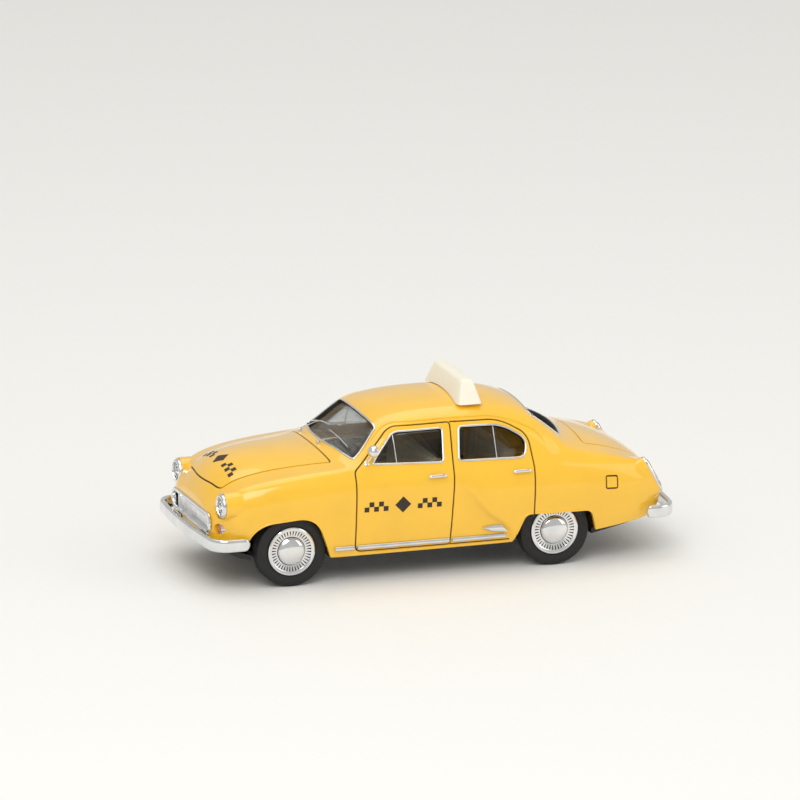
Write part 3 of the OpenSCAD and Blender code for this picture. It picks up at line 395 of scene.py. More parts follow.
def fine(path, step, closed=True):
    """The same path with points added on its long stretches."""
    ends = np.roll(path, -1, 0)
    points = []
    for a, b in list(zip(path, ends))[:None if closed else -1]:
        parts = max(1, math.ceil(np.linalg.norm(b - a) / step))
        points += [a + (b - a) * k / parts for k in range(parts)]
    return np.array(points if closed else points + [path[-1]])


def round_section(width, height, count=12, power=1.0):
    """Closed oval section, squarer for a smaller power."""
    a = np.linspace(0, 2 * math.pi, count, endpoint=False)
    oval = np.stack([np.cos(a), np.sin(a)], -1)
    return np.sign(oval) * np.abs(oval) ** power * (width / 2, height / 2)


def loft(rings, closed=False):
    """Surface through a row of rings of points."""
    rings = np.asarray(rings, float)
    n, m = rings.shape[:2]
    row = np.arange(n if closed else n - 1)[:, None]
    column = np.arange(m)[None]
    following = (row + 1) % n
    turn = (column + 1) % m
    quads = np.stack([row * m + column, row * m + turn, following * m + turn, following * m + column], -1)
    faces = quads.reshape(-1, 4).tolist()
    if not closed:
        faces += [list(range(m))[::-1], list(range((n - 1) * m, n * m))]
    return rings.reshape(-1, 3), faces


def sweep(path, ups, shape, closed, scale=None):
    """A section of (sideways, up) points carried along a path; ups is one direction or one per point."""
    ahead = np.roll(path, -1, 0) - np.roll(path, 1, 0)
    if not closed:
        ahead[0] = path[1] - path[0]
        ahead[-1] = path[-1] - path[-2]
    ahead = unit(ahead)
    side = unit(np.cross(ahead, ups))
    up = np.cross(side, ahead)
    size = np.ones(len(path)) if scale is None else np.asarray(scale, float)
    shape = shape[None] * size[:, None, None]
    return loft(path[:, None] + side[:, None] * shape[..., :1] + up[:, None] * shape[..., 1:], closed)


def lathe(profile, centre, axis, steps=96):
    """Closed profile of (radius, height) points turned about an axis."""
    axis = unit(np.array(axis, float))
    first = unit(np.cross(axis, (0.0, 0.0, 1.0) if abs(axis[2]) < 0.9 else (1.0, 0.0, 0.0)))
    second = np.cross(axis, first)
    a = np.linspace(0, 2 * math.pi, steps, endpoint=False)[:, None]
    spoke = np.cos(a) * first + np.sin(a) * second
    profile = np.asarray(profile, float)
    rings = np.array(centre) + profile[None, :, :1] * spoke[:, None] + profile[None, :, 1:] * axis
    return loft(rings, closed=True)


def prism(outline, start, end, axis):
    """Outline of two coordinates, drawn out along the third one, whose number is axis."""
    outline = np.asarray(outline, float)
    rings = [np.insert(outline, axis, place, axis=1) for place in (start, end)]
    return loft(rings)


def slab(upper, under):
    """Solid between two grids of points."""
    return loft(np.concatenate([upper, under[:, ::-1]], 1))


def merged(parts):
    """Several solids as one."""
    points = np.concatenate([p for p, _ in parts])
    starts = np.cumsum([0] + [len(p) for p, _ in parts[:-1]])
    return points, [[i + int(start) for i in f] for (_, faces), start in zip(parts, starts) for f in faces]


def mirrored(part, flip=(1, -1, 1)):
    points, faces = part
    return points * flip, [f[::-1] for f in faces]


def both(parts):
    """Parts of the left side with their mirror images."""
    return list(parts) + [mirrored(p) for p in parts]


def dome(r, foot, rise, count, end=math.pi / 2):
    """Profile of a dome, as (radius, height) points from its rim to its top."""
    return [(r * math.cos(a), foot + rise * math.sin(a)) for a in np.linspace(0, end, count)]


def moved(part, offset):
    return part[0] + np.array(offset), part[1]


# Blender objects

def new_object(name, parts):
    """Object at the origin, from solids in millimetres, with its faces turned outwards."""
    points, faces = merged(parts)
    mesh = bpy.data.meshes.new(name)
    mesh.from_pydata((points * MM).tolist(), [], faces)
    work = bmesh.new()
    work.from_mesh(mesh)
    bmesh.ops.remove_doubles(work, verts=work.verts, dist=1e-7)
    bmesh.ops.recalc_face_normals(work, faces=work.faces)
    work.to_mesh(mesh)
    work.free()
    item = bpy.data.objects.new(name, mesh)
    bpy.context.scene.collection.objects.link(item)
    return item


def settle(item):
    """Turns an object with modifiers into a plain mesh."""
    graph = bpy.context.evaluated_depsgraph_get()
    mesh = bpy.data.meshes.new_from_object(item.evaluated_get(graph))
    item.modifiers.clear()
    item.data = mesh


def boolean(item, operation, parts):
    """Joins solids to an object, or cuts them out of it, one after the other."""
    tools = [new_object("tool", [part]) for part in parts]
    for tool in tools:
        modifier = item.modifiers.new("cut", "BOOLEAN")
        modifier.solver = "MANIFOLD"
        modifier.operation = operation
        modifier.object = tool
    settle(item)
    for tool in tools:
        bpy.data.objects.remove(tool)
    if not item.data.polygons:
        raise RuntimeError(f"{item.name} was lost in a cut")


def bevelled(part, width):
    """Solid with its edges rounded."""
    item = new_object("tool", [part])
    modifier = item.modifiers.new("edges", "BEVEL")
    modifier.width = width * MM
    modifier.segments = 3
    modifier.limit_method = "ANGLE"
    modifier.angle_limit = math.radians(28)
    settle(item)
    result = solid_of(item.data)
    bpy.data.objects.remove(item)
    return result


def solid_of(mesh):
    """Points in millimetres and faces of a mesh."""
    points = np.empty(len(mesh.vertices) * 3)
    mesh.vertices.foreach_get("co", points)
    return points.reshape(-1, 3) / MM, [list(p.vertices) for p in mesh.polygons]


def dress(item, material, nodes=(), body="taxi", angle=32):
    """Gives an object its shading, material and body, and hides the nodes of the frame that it stands for."""
    item.data.shade_smooth()
    item.data.set_sharp_from_angle(angle=math.radians(angle))
    item.data.materials.clear()
    item.data.materials.append(MATERIALS[material])
    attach(item, body)
    if nodes:
        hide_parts(*nodes)


def piece(name, parts, material, nodes=(), body="taxi"):
    dress(new_object(name, parts), material, nodes, body)


def bright(name, parts):
    """Bright piece that stands for the node of the same name."""
    piece(name, parts, "chrome", [name])


# Node trees

def add(tree, kind, inputs=None, **settings):
    """Adds a node and sets or links its inputs."""
    node = tree.nodes.new(kind)
    for key, value in settings.items():
        setattr(node, key, value)
    for name, value in (inputs or {}).items():
        if isinstance(value, bpy.types.NodeSocket):
            tree.links.new(value, node.inputs[name])
        else:
            node.inputs[name].default_value = value
    return node


def repeat_tree():
    """Tree that copies one object in a row and about the Y axis, and the names of its inputs."""
    tree = bpy.data.node_groups.new("Repeat", "GeometryNodeTree")
    sockets = {}
    for name, kind in (("Copy", "NodeSocketObject"), ("Count", "NodeSocketInt"), ("Step", "NodeSocketVector"),
                       ("Turn", "NodeSocketFloat")):
        sockets[name] = tree.interface.new_socket(name, in_out="INPUT", socket_type=kind).identifier
    tree.interface.new_socket("Geometry", in_out="OUTPUT", socket_type="NodeSocketGeometry")
    given = add(tree, "NodeGroupInput").outputs
    index = add(tree, "GeometryNodeInputIndex").outputs[0]
    place = add(tree, "ShaderNodeVectorMath", {0: given["Step"]}, operation="SCALE")
    tree.links.new(index, place.inputs["Scale"])
    angle = add(tree, "ShaderNodeMath", {0: index, 1: given["Turn"]}, operation="MULTIPLY").outputs[0]
    turn = add(tree, "ShaderNodeCombineXYZ", {"Y": angle}).outputs[0]
    points = add(tree, "GeometryNodePoints", {"Count": given["Count"], "Position": place.outputs[0]})
    source = add(tree, "GeometryNodeObjectInfo", {"Object": given["Copy"]})
    copies = add(tree, "GeometryNodeInstanceOnPoints", {
        "Points": points.outputs[0], "Instance": source.outputs["Geometry"], "Rotation": turn})
    real = add(tree, "GeometryNodeRealizeInstances", {"Geometry": copies.outputs[0]})
    add(tree, "NodeGroupOutput", {"Geometry": real.outputs[0]})
    return tree, sockets


def repeated(part, count, step=(0, 0, 0), turn=0.0):
    """Solid of count copies of a part, each moved by step and turned about Y from the one before."""
    tree, sockets = repeat_tree()
    copy = new_object("copy", [part])
    holder = bpy.data.objects.new("holder", bpy.data.meshes.new("holder"))
    bpy.context.scene.collection.objects.link(holder)
    modifier = holder.modifiers.new("Repeat", "NODES")
    modifier.node_group = tree
    values = {"Copy": copy, "Count": count, "Step": [s * MM for s in step], "Turn": turn}
    for name, value in values.items():
        modifier[sockets[name]] = value
    graph = bpy.context.evaluated_depsgraph_get()
    mesh = bpy.data.meshes.new_from_object(holder.evaluated_get(graph))
    result = solid_of(mesh)
    for item in (holder, copy):
        bpy.data.objects.remove(item)
    bpy.data.node_groups.remove(tree)
    if len(mesh.polygons) < count:
        raise RuntimeError("the copies are missing")
    return result


# Materials

def linear(colour):
    """Linear values of an sRGB colour given as #RRGGBB."""
    values = [int(colour[i:i + 2], 16) / 255 for i in (1, 3, 5)]
    return [v / 12.92 if v <= 0.04045 else ((v + 0.055) / 1.055) ** 2.4 for v in values] + [1.0]


def rgba(colour):
    """Linear values of a colour given as #RRGGBB or by its linear values."""
    return linear(colour) if isinstance(colour, str) else [*colour[:3], 1.0]


def lighter(colour, by):
    return [min(1.0, value * by) for value in rgba(colour)[:3]]


def shader(name, colour, **inputs):
    """Material of one colour with the given shader inputs."""
    material = bpy.data.materials.new(name)
    material.use_nodes = True
    node = material.node_tree.nodes["Principled BSDF"]
    node.inputs["Base Color"].default_value = rgba(colour)
    for key, value in inputs.items():
        node.inputs[key.replace("_", " ")].default_value = value
    return material


def noise(material, size, detail=2.0):
    """Noise whose features are about size millimetres across."""
    tree = material.node_tree
    place = add(tree, "ShaderNodeTexCoord").outputs["Object"]
    return add(tree, "ShaderNodeTexNoise", {"Vector": place, "Scale": 1 / (size * MM), "Detail": detail})


def tinted(material, first, second, size):
    """Varies the colour softly between two colours."""
    tree = material.node_tree
    ramp = add(tree, "ShaderNodeValToRGB", {"Fac": noise(material, size).outputs[0]})
    ramp.color_ramp.elements[0].position = 0.35
    ramp.color_ramp.elements[0].color = rgba(first)
    ramp.color_ramp.elements[1].position = 0.65
    ramp.color_ramp.elements[1].color = rgba(second)
    tree.links.new(ramp.outputs[0], tree.nodes["Principled BSDF"].inputs["Base Color"])


def polished(material, low, high, size):
    """Varies the roughness between two values."""
    tree = material.node_tree
    span = add(tree, "ShaderNodeMapRange", {
        "Value": noise(material, size, 4).outputs[0],
        "From Min": 0.3, "From Max": 0.7, "To Min": low, "To Max": high})
    tree.links.new(span.outputs[0], tree.nodes["Principled BSDF"].inputs["Roughness"])


def grained(material, size, height, strength):
    """Fine relief of the surface, its height in millimetres."""
    tree = material.node_tree
    bump = add(tree, "ShaderNodeBump", {
        "Height": noise(material, size, 3).outputs[0], "Distance": height * MM, "Strength": strength})
    tree.links.new(bump.outputs[0], tree.nodes["Principled BSDF"].inputs["Normal"])


def enamel(colour):
    material = shader("Yellow enamel, sprayed on zinc", colour, Roughness=0.3, Coat_Weight=1.0,
                      Coat_Roughness=0.04)
    tinted(material, colour, lighter(colour, 1.05), 9)
    grained(material, 0.7, 0.004, 0.25)
    return material


def plated():
    material = shader("Bright plate, vacuum-coated plastic", "#E4E5E6", Metallic=1.0, Roughness=0.1)
    polished(material, 0.06, 0.15, 2)
    tinted(material, "#DEDFE1", "#EBEBEA", 4)
    return material


def clear(name, colour, roughness):
    material = shader(name, colour, Transmission_Weight=1.0, IOR=1.3, Roughness=roughness, Alpha=0.35)
    polished(material, roughness, roughness + 0.03, 3)
    return material


def moulded(name, colour, roughness, grain=0.12, height=0.012, vary=1.12):
    """Moulded plastic or rubber with a fine grain, its size and height in millimetres."""
    material = shader(name, colour, Roughness=roughness)
    tinted(material, colour, lighter(colour, vary), 1.6)
    polished(material, roughness - 0.06, roughness + 0.08, 0.8)
    grained(material, grain, height, 0.5)
    return material


def lamp_plastic(name, colour):
    return shader(name, colour, Roughness=0.12, Coat_Weight=1.0, Coat_Roughness=0.05,
                  Transmission_Weight=0.25)


def plated_steel():
    material = shader("Zinc-plated steel, turned", "#A9ABAE", Metallic=1.0, Roughness=0.3)
    polished(material, 0.22, 0.38, 0.5)
    return material


def make_materials(colours):
    MATERIALS.update(
        paint=enamel(colours.paint),
        chrome=plated(),
        glass=clear("Clear acrylic, moulded", "#C3CFD4", 0.02),
        lens=clear("Clear lens plastic, moulded", "#F4F6F6", 0.04),
        # The checker ink also fills the shut lines as painted shade
        mark=moulded("Checker print and painted seam shade, matt ink", colours.checker, 0.5, 0.3, 0.004),
        sign=moulded("Cream sign plastic, moulded", colours.sign, 0.35, 0.3, 0.001, 1.03),
        # The black base plastic also serves as painted shade in the wheel slots and the wheel wells
        base=moulded("Black base plastic and painted shade, moulded", "#17181A", 0.5),
        seal=moulded("Black window seal, printed", "#101112", 0.45),
        tyre=moulded("Black tyre vinyl, moulded", "#141414", 0.62),
        tub=moulded("Cabin plastic, moulded", "#857C70", 0.6),
        seat=moulded("Bench plastic, moulded", colours.seat, 0.55),
        ivory=moulded("Ivory plastic, moulded", "#E8DFC6", 0.3, 0.3, 0.001, 1.03),
        red=lamp_plastic("Red lens plastic, moulded", "#B4130E"),
        amber=lamp_plastic("Amber lens plastic, moulded", "#E5780F"),
        steel=plated_steel(),
    )


# Places and shapes shared by several pieces

def along_path(corners, step, closed=True):
    """Places and heights, or places and lines, of the points of a rounded outline."""
    path = fine(rounded(corners), step, closed)
    return path[:, 0], path[:, 1]


def capsule(half, r):
    """Slot outline: two half circles of radius r, their middles at plus and minus half."""
    a = np.linspace(-math.pi / 2, math.pi / 2, 15)
    end = np.stack([half + r * np.cos(a), r * np.sin(a)], -1)
    return np.concatenate([end, -end])


def slotted(profile, half, axes, closed=True):
    """Profile of (radius, height) points carried round a slot, whose axes are origin, long, short and out."""
    origin, ahead, side, out = (np.array(a, float) for a in axes)
    rings = []
    for r, height in profile:
        line = capsule(half, max(r, 0.01))
        rings.append(origin + line[:, :1] * ahead + line[:, 1:] * side + height * out)
    return loft(rings, closed)


def rod(centre, axis, r, start, end, steps=48):
    return lathe([(0, start), (r, start), (r, end), (0, end)], centre, axis, steps)


def box(low, high):
    outline = [(low[0], low[1]), (high[0], low[1]), (high[0], high[1]), (low[0], high[1])]
    return prism(outline, low[2], high[2], 2)


def facing_front(x, z, y=0):
    """Axes of a slot that lies across the car and faces forwards."""
    return (x, y, z), (0, 1, 0), (0, 0, 1), AHEAD


def facing_tail():
    """Axes of the left tail lamp, which leans with the end of the wing."""
    c, s = math.cos(TAIL_LEAN), math.sin(TAIL_LEAN)
    return TAIL_LAMP, (c, 0, s), (0, 1, 0), (-s, 0, c)


# Body shell

def body_solid(grow, grid, drop=0.0):
    """The whole body as a solid with rounded ends, grown, and drawn down at its foot."""
    along, around = grid
    edge = 0.8
    half = BODY_END + grow - edge
    a = np.linspace(0, math.pi / 2, 7)[1:]
    ends = half + edge * np.sin(a)
    shrink = edge * (1 - np.cos(a))
    x = np.concatenate([-ends[::-1], np.linspace(-half, half, along), ends])
    inset = np.concatenate([shrink[::-1], np.zeros(along), shrink])
    v = np.linspace(-LAST_LINE, LAST_LINE, around)
    rings = skin(x[:, None], v[None], grow - inset[:, None, None])
    if drop:
        rings = np.concatenate([rings, rings[:, [-1, 0]] - (0, 0, drop)], 1)
    return loft(rings)


def lamp_pod():
    r = LAMP_R
    profile = [(0, -9), (1.9, -8.6), (2.7, -7.4), (r + 0.25, -4), (r + 0.35, -0.5), (r + 0.3, 0), (0, 0)]
    return lathe(profile, HEADLAMP, AHEAD)


def tail_pod():
    r = TAIL_R + 0.55
    return slotted([(r - 0.2, -4), (r, -3.6), (r, 0), (r - 0.15, 0.2)], TAIL_HALF, facing_tail(), False)


def arch_outline(end):
    """Edge of a wheel arch as points (x, z)."""
    return fine(rounded(ARCH[end], 16), 0.6, False) + (AXLE_X[end], 0)


def arch_lip(end):
    path = arch_outline(end)
    path = path[path[:, 1] > LIP_FOOT]
    points, ups = on_side(path[:, 0], path[:, 1])
    return sweep(points, ups, round_section(0.7, 0.36), False)


def gutter():
    """Rain gutter over the doors, thinner towards its ends."""
    points, ups = on_side(*along_path(GUTTER, 0.6, False), 0.02)
    place = np.arange(len(points))
    size = np.clip(np.minimum(place, place[::-1]) / 5, 0.3, 1)
    return sweep(points, ups, round_section(0.62, 0.5), False, size)


def seam_paths():
    """Shut lines of the left doors and of the lids: points, normals, and whether they close."""
    doors = [(on_side, FRONT_DOOR, 0.5, True), (on_side, REAR_DOOR, 0.5, False),
             (on_side, REAR_DOOR_FOOT, 0.5, False)]
    lids = [(on_side, FUEL_FLAP, 0.3, True), (on_body, BONNET, 0.12, True), (on_body, BOOT, 0.12, True)]
    return [[(*place(*along_path(line, step, closed)), closed) for place, line, step, closed in group]
            for group in (doors, lids)]


def seams(low_half, low, high_half, high):
    """A section, as half widths at two heights, carried along every shut line."""
    shape = np.array([(-low_half, low), (low_half, low), (high_half, high), (-high_half, high)])
    doors, lids = ([sweep(points, ups, shape, closed) for points, ups, closed in group]
                   for group in seam_paths())
    return both(doors) + lids


def seam_cutters(sizes):
    half = sizes.seam_width / MM / 2
    return seams(0.75 * half, -sizes.seam_depth / MM, 1.5 * half, 0.25)


def seam_shade(sizes):
    """Painted shade: a thin dark fill at the bottom of the shut lines."""
    half = 0.95 * sizes.seam_width / MM / 2
    depth = sizes.seam_depth / MM
    return seams(half, -depth - 0.1, half, 0.06 - depth)


def window_cutters():
    cutters = both([prism(rounded(w, 12), *SIDE_CUT, 1) for w in (FRONT_WINDOW, REAR_WINDOW)])
    for outline, out in SCREEN_OUT:
        points, _ = on_body(*along_path(outline, 0.1))
        cutters.append(loft([points + reach * np.array(out) for reach in SCREEN_CUT]))
    return cutters


def opening_cutters():
    """Arches, lamp pockets, grille opening and the slots for the bumper pegs."""
    arches = [prism(arch_outline(end), -PAST_SIDE, PAST_SIDE, 1) for end in AXLE_X]
    pockets = [rod(HEADLAMP, AHEAD, LAMP_R - 0.5, -2.6, 1), rod(HEADLAMP, AHEAD, LAMP_R + 0.14, 0, PAST_LAMP),
               rod(INDICATOR, AHEAD, INDICATOR_R + 0.04, 0, PAST_LAMP)]
    for r, floor in ((TAIL_R, -1.4), (TAIL_R + 0.5, 0.2)):
        pockets.append(slotted([(r, floor), (r, PAST_LAMP)], TAIL_HALF, facing_tail(), False))
    for x in (BODY_END - 6, -BODY_END - 1):
        pockets.append(slotted([(0.9, 0), (0.9, 7)], 1, facing_front(x, BUMPER_Z, PEG_Y), False))
    grille = slotted([(GRILLE_R, -4), (GRILLE_R, 2)], GRILLE_HALF, facing_front(BODY_END, GRILLE_Z), False)
    return arches + both(pockets) + [grille]


def make_body(sizes):
    item = new_object("body_shell", [body_solid(0, OUTER_GRID)])
    boolean(item, "UNION", both([lamp_pod(), tail_pod(), gutter(), arch_lip("front"), arch_lip("rear")]))
    apron = box((APRON_X, -BUMPER_HALF - 2, 0), (BODY_END + 2, BUMPER_HALF + 2, APRON_FOOT))
    boolean(item, "DIFFERENCE", [body_solid(-SHELL_WALL, INNER_GRID, SHELL_DROP), apron])
    lower_rims = np.array(POST_X) + np.copysign(POST_R, POST_X)
    tops = section(lower_rims, 0.0)[:, 1] - POST_CLEAR
    boolean(item, "UNION", [rod((x, 0, 0), (0, 0, 1), POST_R, foot, top)
                            for x, foot, top in zip(POST_X, POST_FOOT, tops)])
    boolean(item, "DIFFERENCE", window_cutters() + opening_cutters() + seam_cutters(sizes))
    dress(item, "paint", ["body_shell"], angle=40)
    # Dark fill in the shut lines: painted shade at the bottom of the seams, in the checker ink
    piece("shut_line_wash", seam_shade(sizes), "mark")


# Windows

def make_windows(sizes):
    x = np.linspace(*CANOPY_ENDS, 120)[:, None]
    v = np.linspace(CANOPY_LINE, -CANOPY_LINE, 80)[None]
    upper, under = (skin(x, v, -SHELL_WALL - depth) for depth in CANOPY_FACES)
    piece("window_glazing", [slab(upper, under)], "glass", ["window_glazing"])
    make_window_trim(sizes)
    make_quarter_bars()
    make_wipers()


def framed(edges, shape, lift):
    """A section carried round the edges of openings, lifted off the body."""
    return [sweep(points + lift * ups, ups, shape, True) for points, ups in edges]


def make_window_trim(sizes):
    """Bright frames and black seals of the two screens and the side windows."""
    rim = round_section(sizes.trim_width / MM, 0.36, 12, 0.8)
    seal = round_section(0.42, 0.9, 8, 0.4)
    screens = {"windscreen_surround": on_body(*along_path(WINDSCREEN, 0.1)),
               "rear_screen_surround": on_body(*along_path(REAR_SCREEN, 0.1))}
    sides = [on_side(*along_path(outline, 0.4)) for outline in (FRONT_WINDOW, REAR_WINDOW)]
    for name, edge in screens.items():
        bright(name, framed([edge], rim, TRIM_LIFT))
    bright("side_window_surrounds", both(framed(sides, rim, TRIM_LIFT)))
    linings = both(framed(sides, seal, -SEAL_DEPTH)) + framed(screens.values(), seal, -SEAL_DEPTH)
    piece("window_seals", linings, "seal")


def make_quarter_bars():
    bars = []
    for x, low, high in QUARTER_BARS:
        points, ups = on_side(x, np.linspace(low, high, 14), -BAR_DEPTH)
        bars.append(sweep(points, ups, round_section(0.3, 0.44, 12, 0.7), False))
    bright("quarter_light_bars", both(bars))


def make_wipers():
    parts = []
    t = np.linspace(0, 1, 12)
    button = [(0, 0), (0.5, 0), (0.5, 0.35), (0.34, 0.75), (0, 0.85)]
    for line in WIPER_LINES:
        bow = 0.62 + 0.2 * np.sin(math.pi * t)
        points, ups = on_body(WIPER_X + ARM_REACH[0] * t, line + ARM_REACH[1] * t, bow)
        parts.append(sweep(points, ups, round_section(0.34, 0.26), False, 1.15 - 0.4 * t))
        points, ups = on_body(BLADE_X + BLADE_REACH[0] * t, line + BLADE_SHIFT + BLADE_REACH[1] * t, 0.55)
        parts.append(sweep(points, ups, round_section(0.3, 0.4, 12, 0.6), False))
        foot, up = on_body(WIPER_X, line, 0.02)
        parts.append(lathe(button, foot, up, 32))
    bright("wipers", parts)


# Printed markings

def mark_patches(size):
    """Grids of the printed graphic: distances along it from its middle, and up from its lower edge."""
    s, t = np.meshgrid(np.linspace(0, 1, 7), np.linspace(0, 1, 7), indexing="ij")
    grids = [(DIAMOND_R * (s - t), DIAMOND_RISE + DIAMOND_R * (s + t - 1))]
    for k in range(MARK_SQUARES):
        along = MARK_HALF - (k + s) * size
        up = (k % 2 + t) * size
        grids += [(along, up), (-along, up)]
    return grids


def on_bonnet(x, y):
    """Points and normals of the bonnet at the given places and distances from the middle."""
    lines = np.linspace(0, 2.5, 51)
    v = np.empty(x.shape)
    for index, place in np.ndenumerate(x):
        widths = section(np.full(lines.shape, place), lines)[:, 0]
        v[index] = math.copysign(np.interp(abs(y[index]), widths, lines), y[index])
    return on_body(x, v)


def make_markings(sizes):
    doors = []
    bonnet = []
    for along, up in mark_patches(sizes.checker / MM):
        points, ups = on_side(DOOR_MARK[0] + along, DOOR_MARK[1] + up)
        doors.append(slab(points + INK_LIFT * ups, points - INK_LIFT * ups))
        points, ups = on_bonnet(BONNET_MARK_X - up, along)
        bonnet.append(slab(points + INK_LIFT * ups, points - INK_LIFT * ups))
    piece("checker_print", both(doors) + bonnet, "mark")


# Roof sign

def make_sign():
    levels = [(SIGN_FOOT, 0), (SIGN_TOP - SIGN_EDGE, 0)]
    for a in np.linspace(0.2, math.pi / 2, 6):
        levels.append((SIGN_TOP - SIGN_EDGE * (1 - math.sin(a)), SIGN_EDGE * (1 - math.cos(a))))
    rings = []
    for z, inset in levels:
        length, depth = (np.interp(z, (SIGN_FOOT, SIGN_TOP), size) - 2 * inset
                         for size in (SIGN_LENGTH, SIGN_DEPTH))
        line = round_section(depth, length, 96, 0.22)
        rings.append(np.column_stack([SIGN_X + line[:, 0], line[:, 1], np.full(len(line), z)]))
    item = new_object("taxi_sign", [loft(rings)])
    boolean(item, "DIFFERENCE", [body_solid(SIGN_GAP, SIGN_GRID)])
    dress(item, "sign", ["taxi_sign"], angle=35)


# Bumpers and grille

def bumper_edge(end_x):
    """Outer edge of a bumper in plan, from one end to the other: places and outward directions."""
    corner_y = BUMPER_HALF - BUMPER_CORNER
    bow = math.asin(corner_y / (BUMPER_BOW - BUMPER_CORNER))
    corner_x = BUMPER_TIP - BUMPER_BOW + math.sqrt((BUMPER_BOW - BUMPER_CORNER) ** 2 - corner_y ** 2)
    points = [(BUMPER_TIP - BUMPER_BOW + BUMPER_BOW * math.cos(a), BUMPER_BOW * math.sin(a), a)
              for a in np.linspace(0, bow, 30, endpoint=False)]
    points += [(corner_x + BUMPER_CORNER * math.cos(a), corner_y + BUMPER_CORNER * math.sin(a), a)
               for a in np.linspace(bow, math.pi / 2, 24)]
    points += [(x, BUMPER_HALF, math.pi / 2) for x in np.linspace(corner_x, end_x, 16)[1:]]
    left = np.array(points)
    return np.concatenate([left[::-1], left[1:] * (1, -1, -1)])


def bumper(end_x):
    """Bar along the bumper's edge, rounded off at both ends, and its two pegs."""
    edge = bumper_edge(end_x)
    outline = round_section(BUMPER_T, BUMPER_H, 40, 0.62)
    size = np.ones(len(edge))
    size[:5] = size[-5:][::-1] = np.sqrt(1 - np.linspace(0.94, 0, 5) ** 2)
    rings = []
    for (x, y, a), k in zip(edge, size):
        out = outline[:, 0] * k - BUMPER_T / 2
        z = BUMPER_Z + outline[:, 1] * k
        rings.append(np.column_stack([x + out * math.cos(a), y + out * math.sin(a), z]))
    low = (BUMPER_TIP - BUMPER_T - PEG_LENGTH, PEG_Y - PEG_HALF[0], BUMPER_Z - PEG_HALF[1])
    high = (BUMPER_TIP - BUMPER_T / 2, PEG_Y + PEG_HALF[0], BUMPER_Z + PEG_HALF[1])
    return [loft(rings)] + both([box(low, high)])


def make_bumpers():
    bright("front_bumper", bumper(BUMPER_END["front"]))
    bright("rear_bumper", [mirrored(part, (-1, 1, 1)) for part in bumper(BUMPER_END["rear"])])


def grille_bars():
    """Row of upright bars."""
    pitch = 2 * (GRILLE_HALF + 0.4) / (GRILLE_BARS + 1)
    first = -(GRILLE_BARS - 1) / 2 * pitch
    reach = GRILLE_R - 0.3
    line = [(BODY_END - 0.75, first, z) for z in np.linspace(GRILLE_Z - reach, GRILLE_Z + reach, 12)]
    bar = sweep(np.array(line), AHEAD, round_section(0.42, 0.8, 12, 0.7), False)
    return repeated(bar, GRILLE_BARS, step=(0, pitch, 0))


def make_grille():
    axes = facing_front(BODY_END, GRILLE_Z)
    r = GRILLE_R
    rim = [(r - 0.5, -1.2), (r - 0.1, -1.2), (r - 0.1, 0.04), (r + 0.5, 0.04), (r + 0.5, 0.2), (r + 0.3, 0.4),
           (r - 0.1, 0.46), (r - 0.4, 0.3), (r - 0.5, 0)]
    tie = box((BODY_END - 1.2, -GRILLE_HALF, GRILLE_Z - 0.2), (BODY_END - 0.8, GRILLE_HALF, GRILLE_Z + 0.2))
    bright("grille", [slotted(rim, GRILLE_HALF, axes), grille_bars(), tie])
    back = slotted([(r - 0.05, -1.5), (r - 0.05, -1.3)], GRILLE_HALF, axes, False)
    piece("grille_back", [back], "seal")


# Lamps

def make_headlamps():
    r = LAMP_R
    rim = [(r - 1, -2), (r - 0.54, -2), (r - 0.54, 0.04), (r, 0.04), (r + 0.02, 0.35), (r - 0.12, 0.68),
           (r - 0.4, 0.88), (r - 0.7, 0.86), (r - 0.82, 0.6), (r - 0.84, 0.3), (r - 1, 0.3)]
    bowl = [(0, -2.2), (0.5, -2.15), (1.1, -1.8), (1.5, -1.3), (1.74, -0.6), (1.74, -2.4), (0, -2.4)]
    bright("headlamp_bezels", both([lathe(profile, HEADLAMP, AHEAD) for profile in (rim, bowl)]))
    edge = r - 1.04
    lens = lathe([(0, -0.1), (edge, -0.1)] + dome(edge, 0.25, 0.62, 10), HEADLAMP, AHEAD)
    piece("headlamp_lenses", both([lens]), "lens", ["headlamp_lenses"])


def make_indicators():
    r = INDICATOR_R
    lens = lathe([(0, 0), (r, 0)] + dome(r, INDICATOR_LENGTH, 0.7 * r, 10), INDICATOR, AHEAD)
    piece("front_indicators", both([lens]), "amber", ["front_indicators"])
    collar = [(r + 0.01, 0.3), (r + 0.24, 0.3), (r + 0.24, 1.75), (r + 0.12, 1.86), (r - 0.12, 1.86),
              (r + 0.01, 1.5)]
    piece("indicator_collars", both([lathe(collar, INDICATOR, AHEAD)]), "chrome")


def make_tail_lamps():
    axes = facing_tail()
    r = TAIL_R
    rim = [(r - 0.45, -1.3), (r - 0.08, -1.3), (r - 0.08, 0.24), (r + 0.4, 0.24), (r + 0.4, 0.55),
           (r + 0.22, 0.82), (r - 0.2, 0.84), (r - 0.45, 0.6)]
    floor = [(r - 0.4, -1.3), (r - 0.4, -0.7)]
    parts = [slotted(rim, TAIL_HALF, axes), slotted(floor, TAIL_HALF, axes, False)]
    origin, ahead, side, out = (np.array(axis, float) for axis in axes)
    for place in TAIL_BARS:
        points = origin + place * ahead + 0.85 * out + np.linspace(-r, r, 12)[:, None] * side
        parts.append(sweep(points, out, round_section(0.55, 0.5, 12, 0.8), False))
    bright("tail_lamp_bezels", both(parts))
    edge = r - 0.49
    lens = slotted([(edge, -0.56)] + dome(edge, 0.75, 0.5, 8, 1.45), TAIL_HALF, axes, False)
    piece("tail_lamp_lenses", both([lens]), "red", ["tail_lamp_lenses"])


# Bright work on the doors

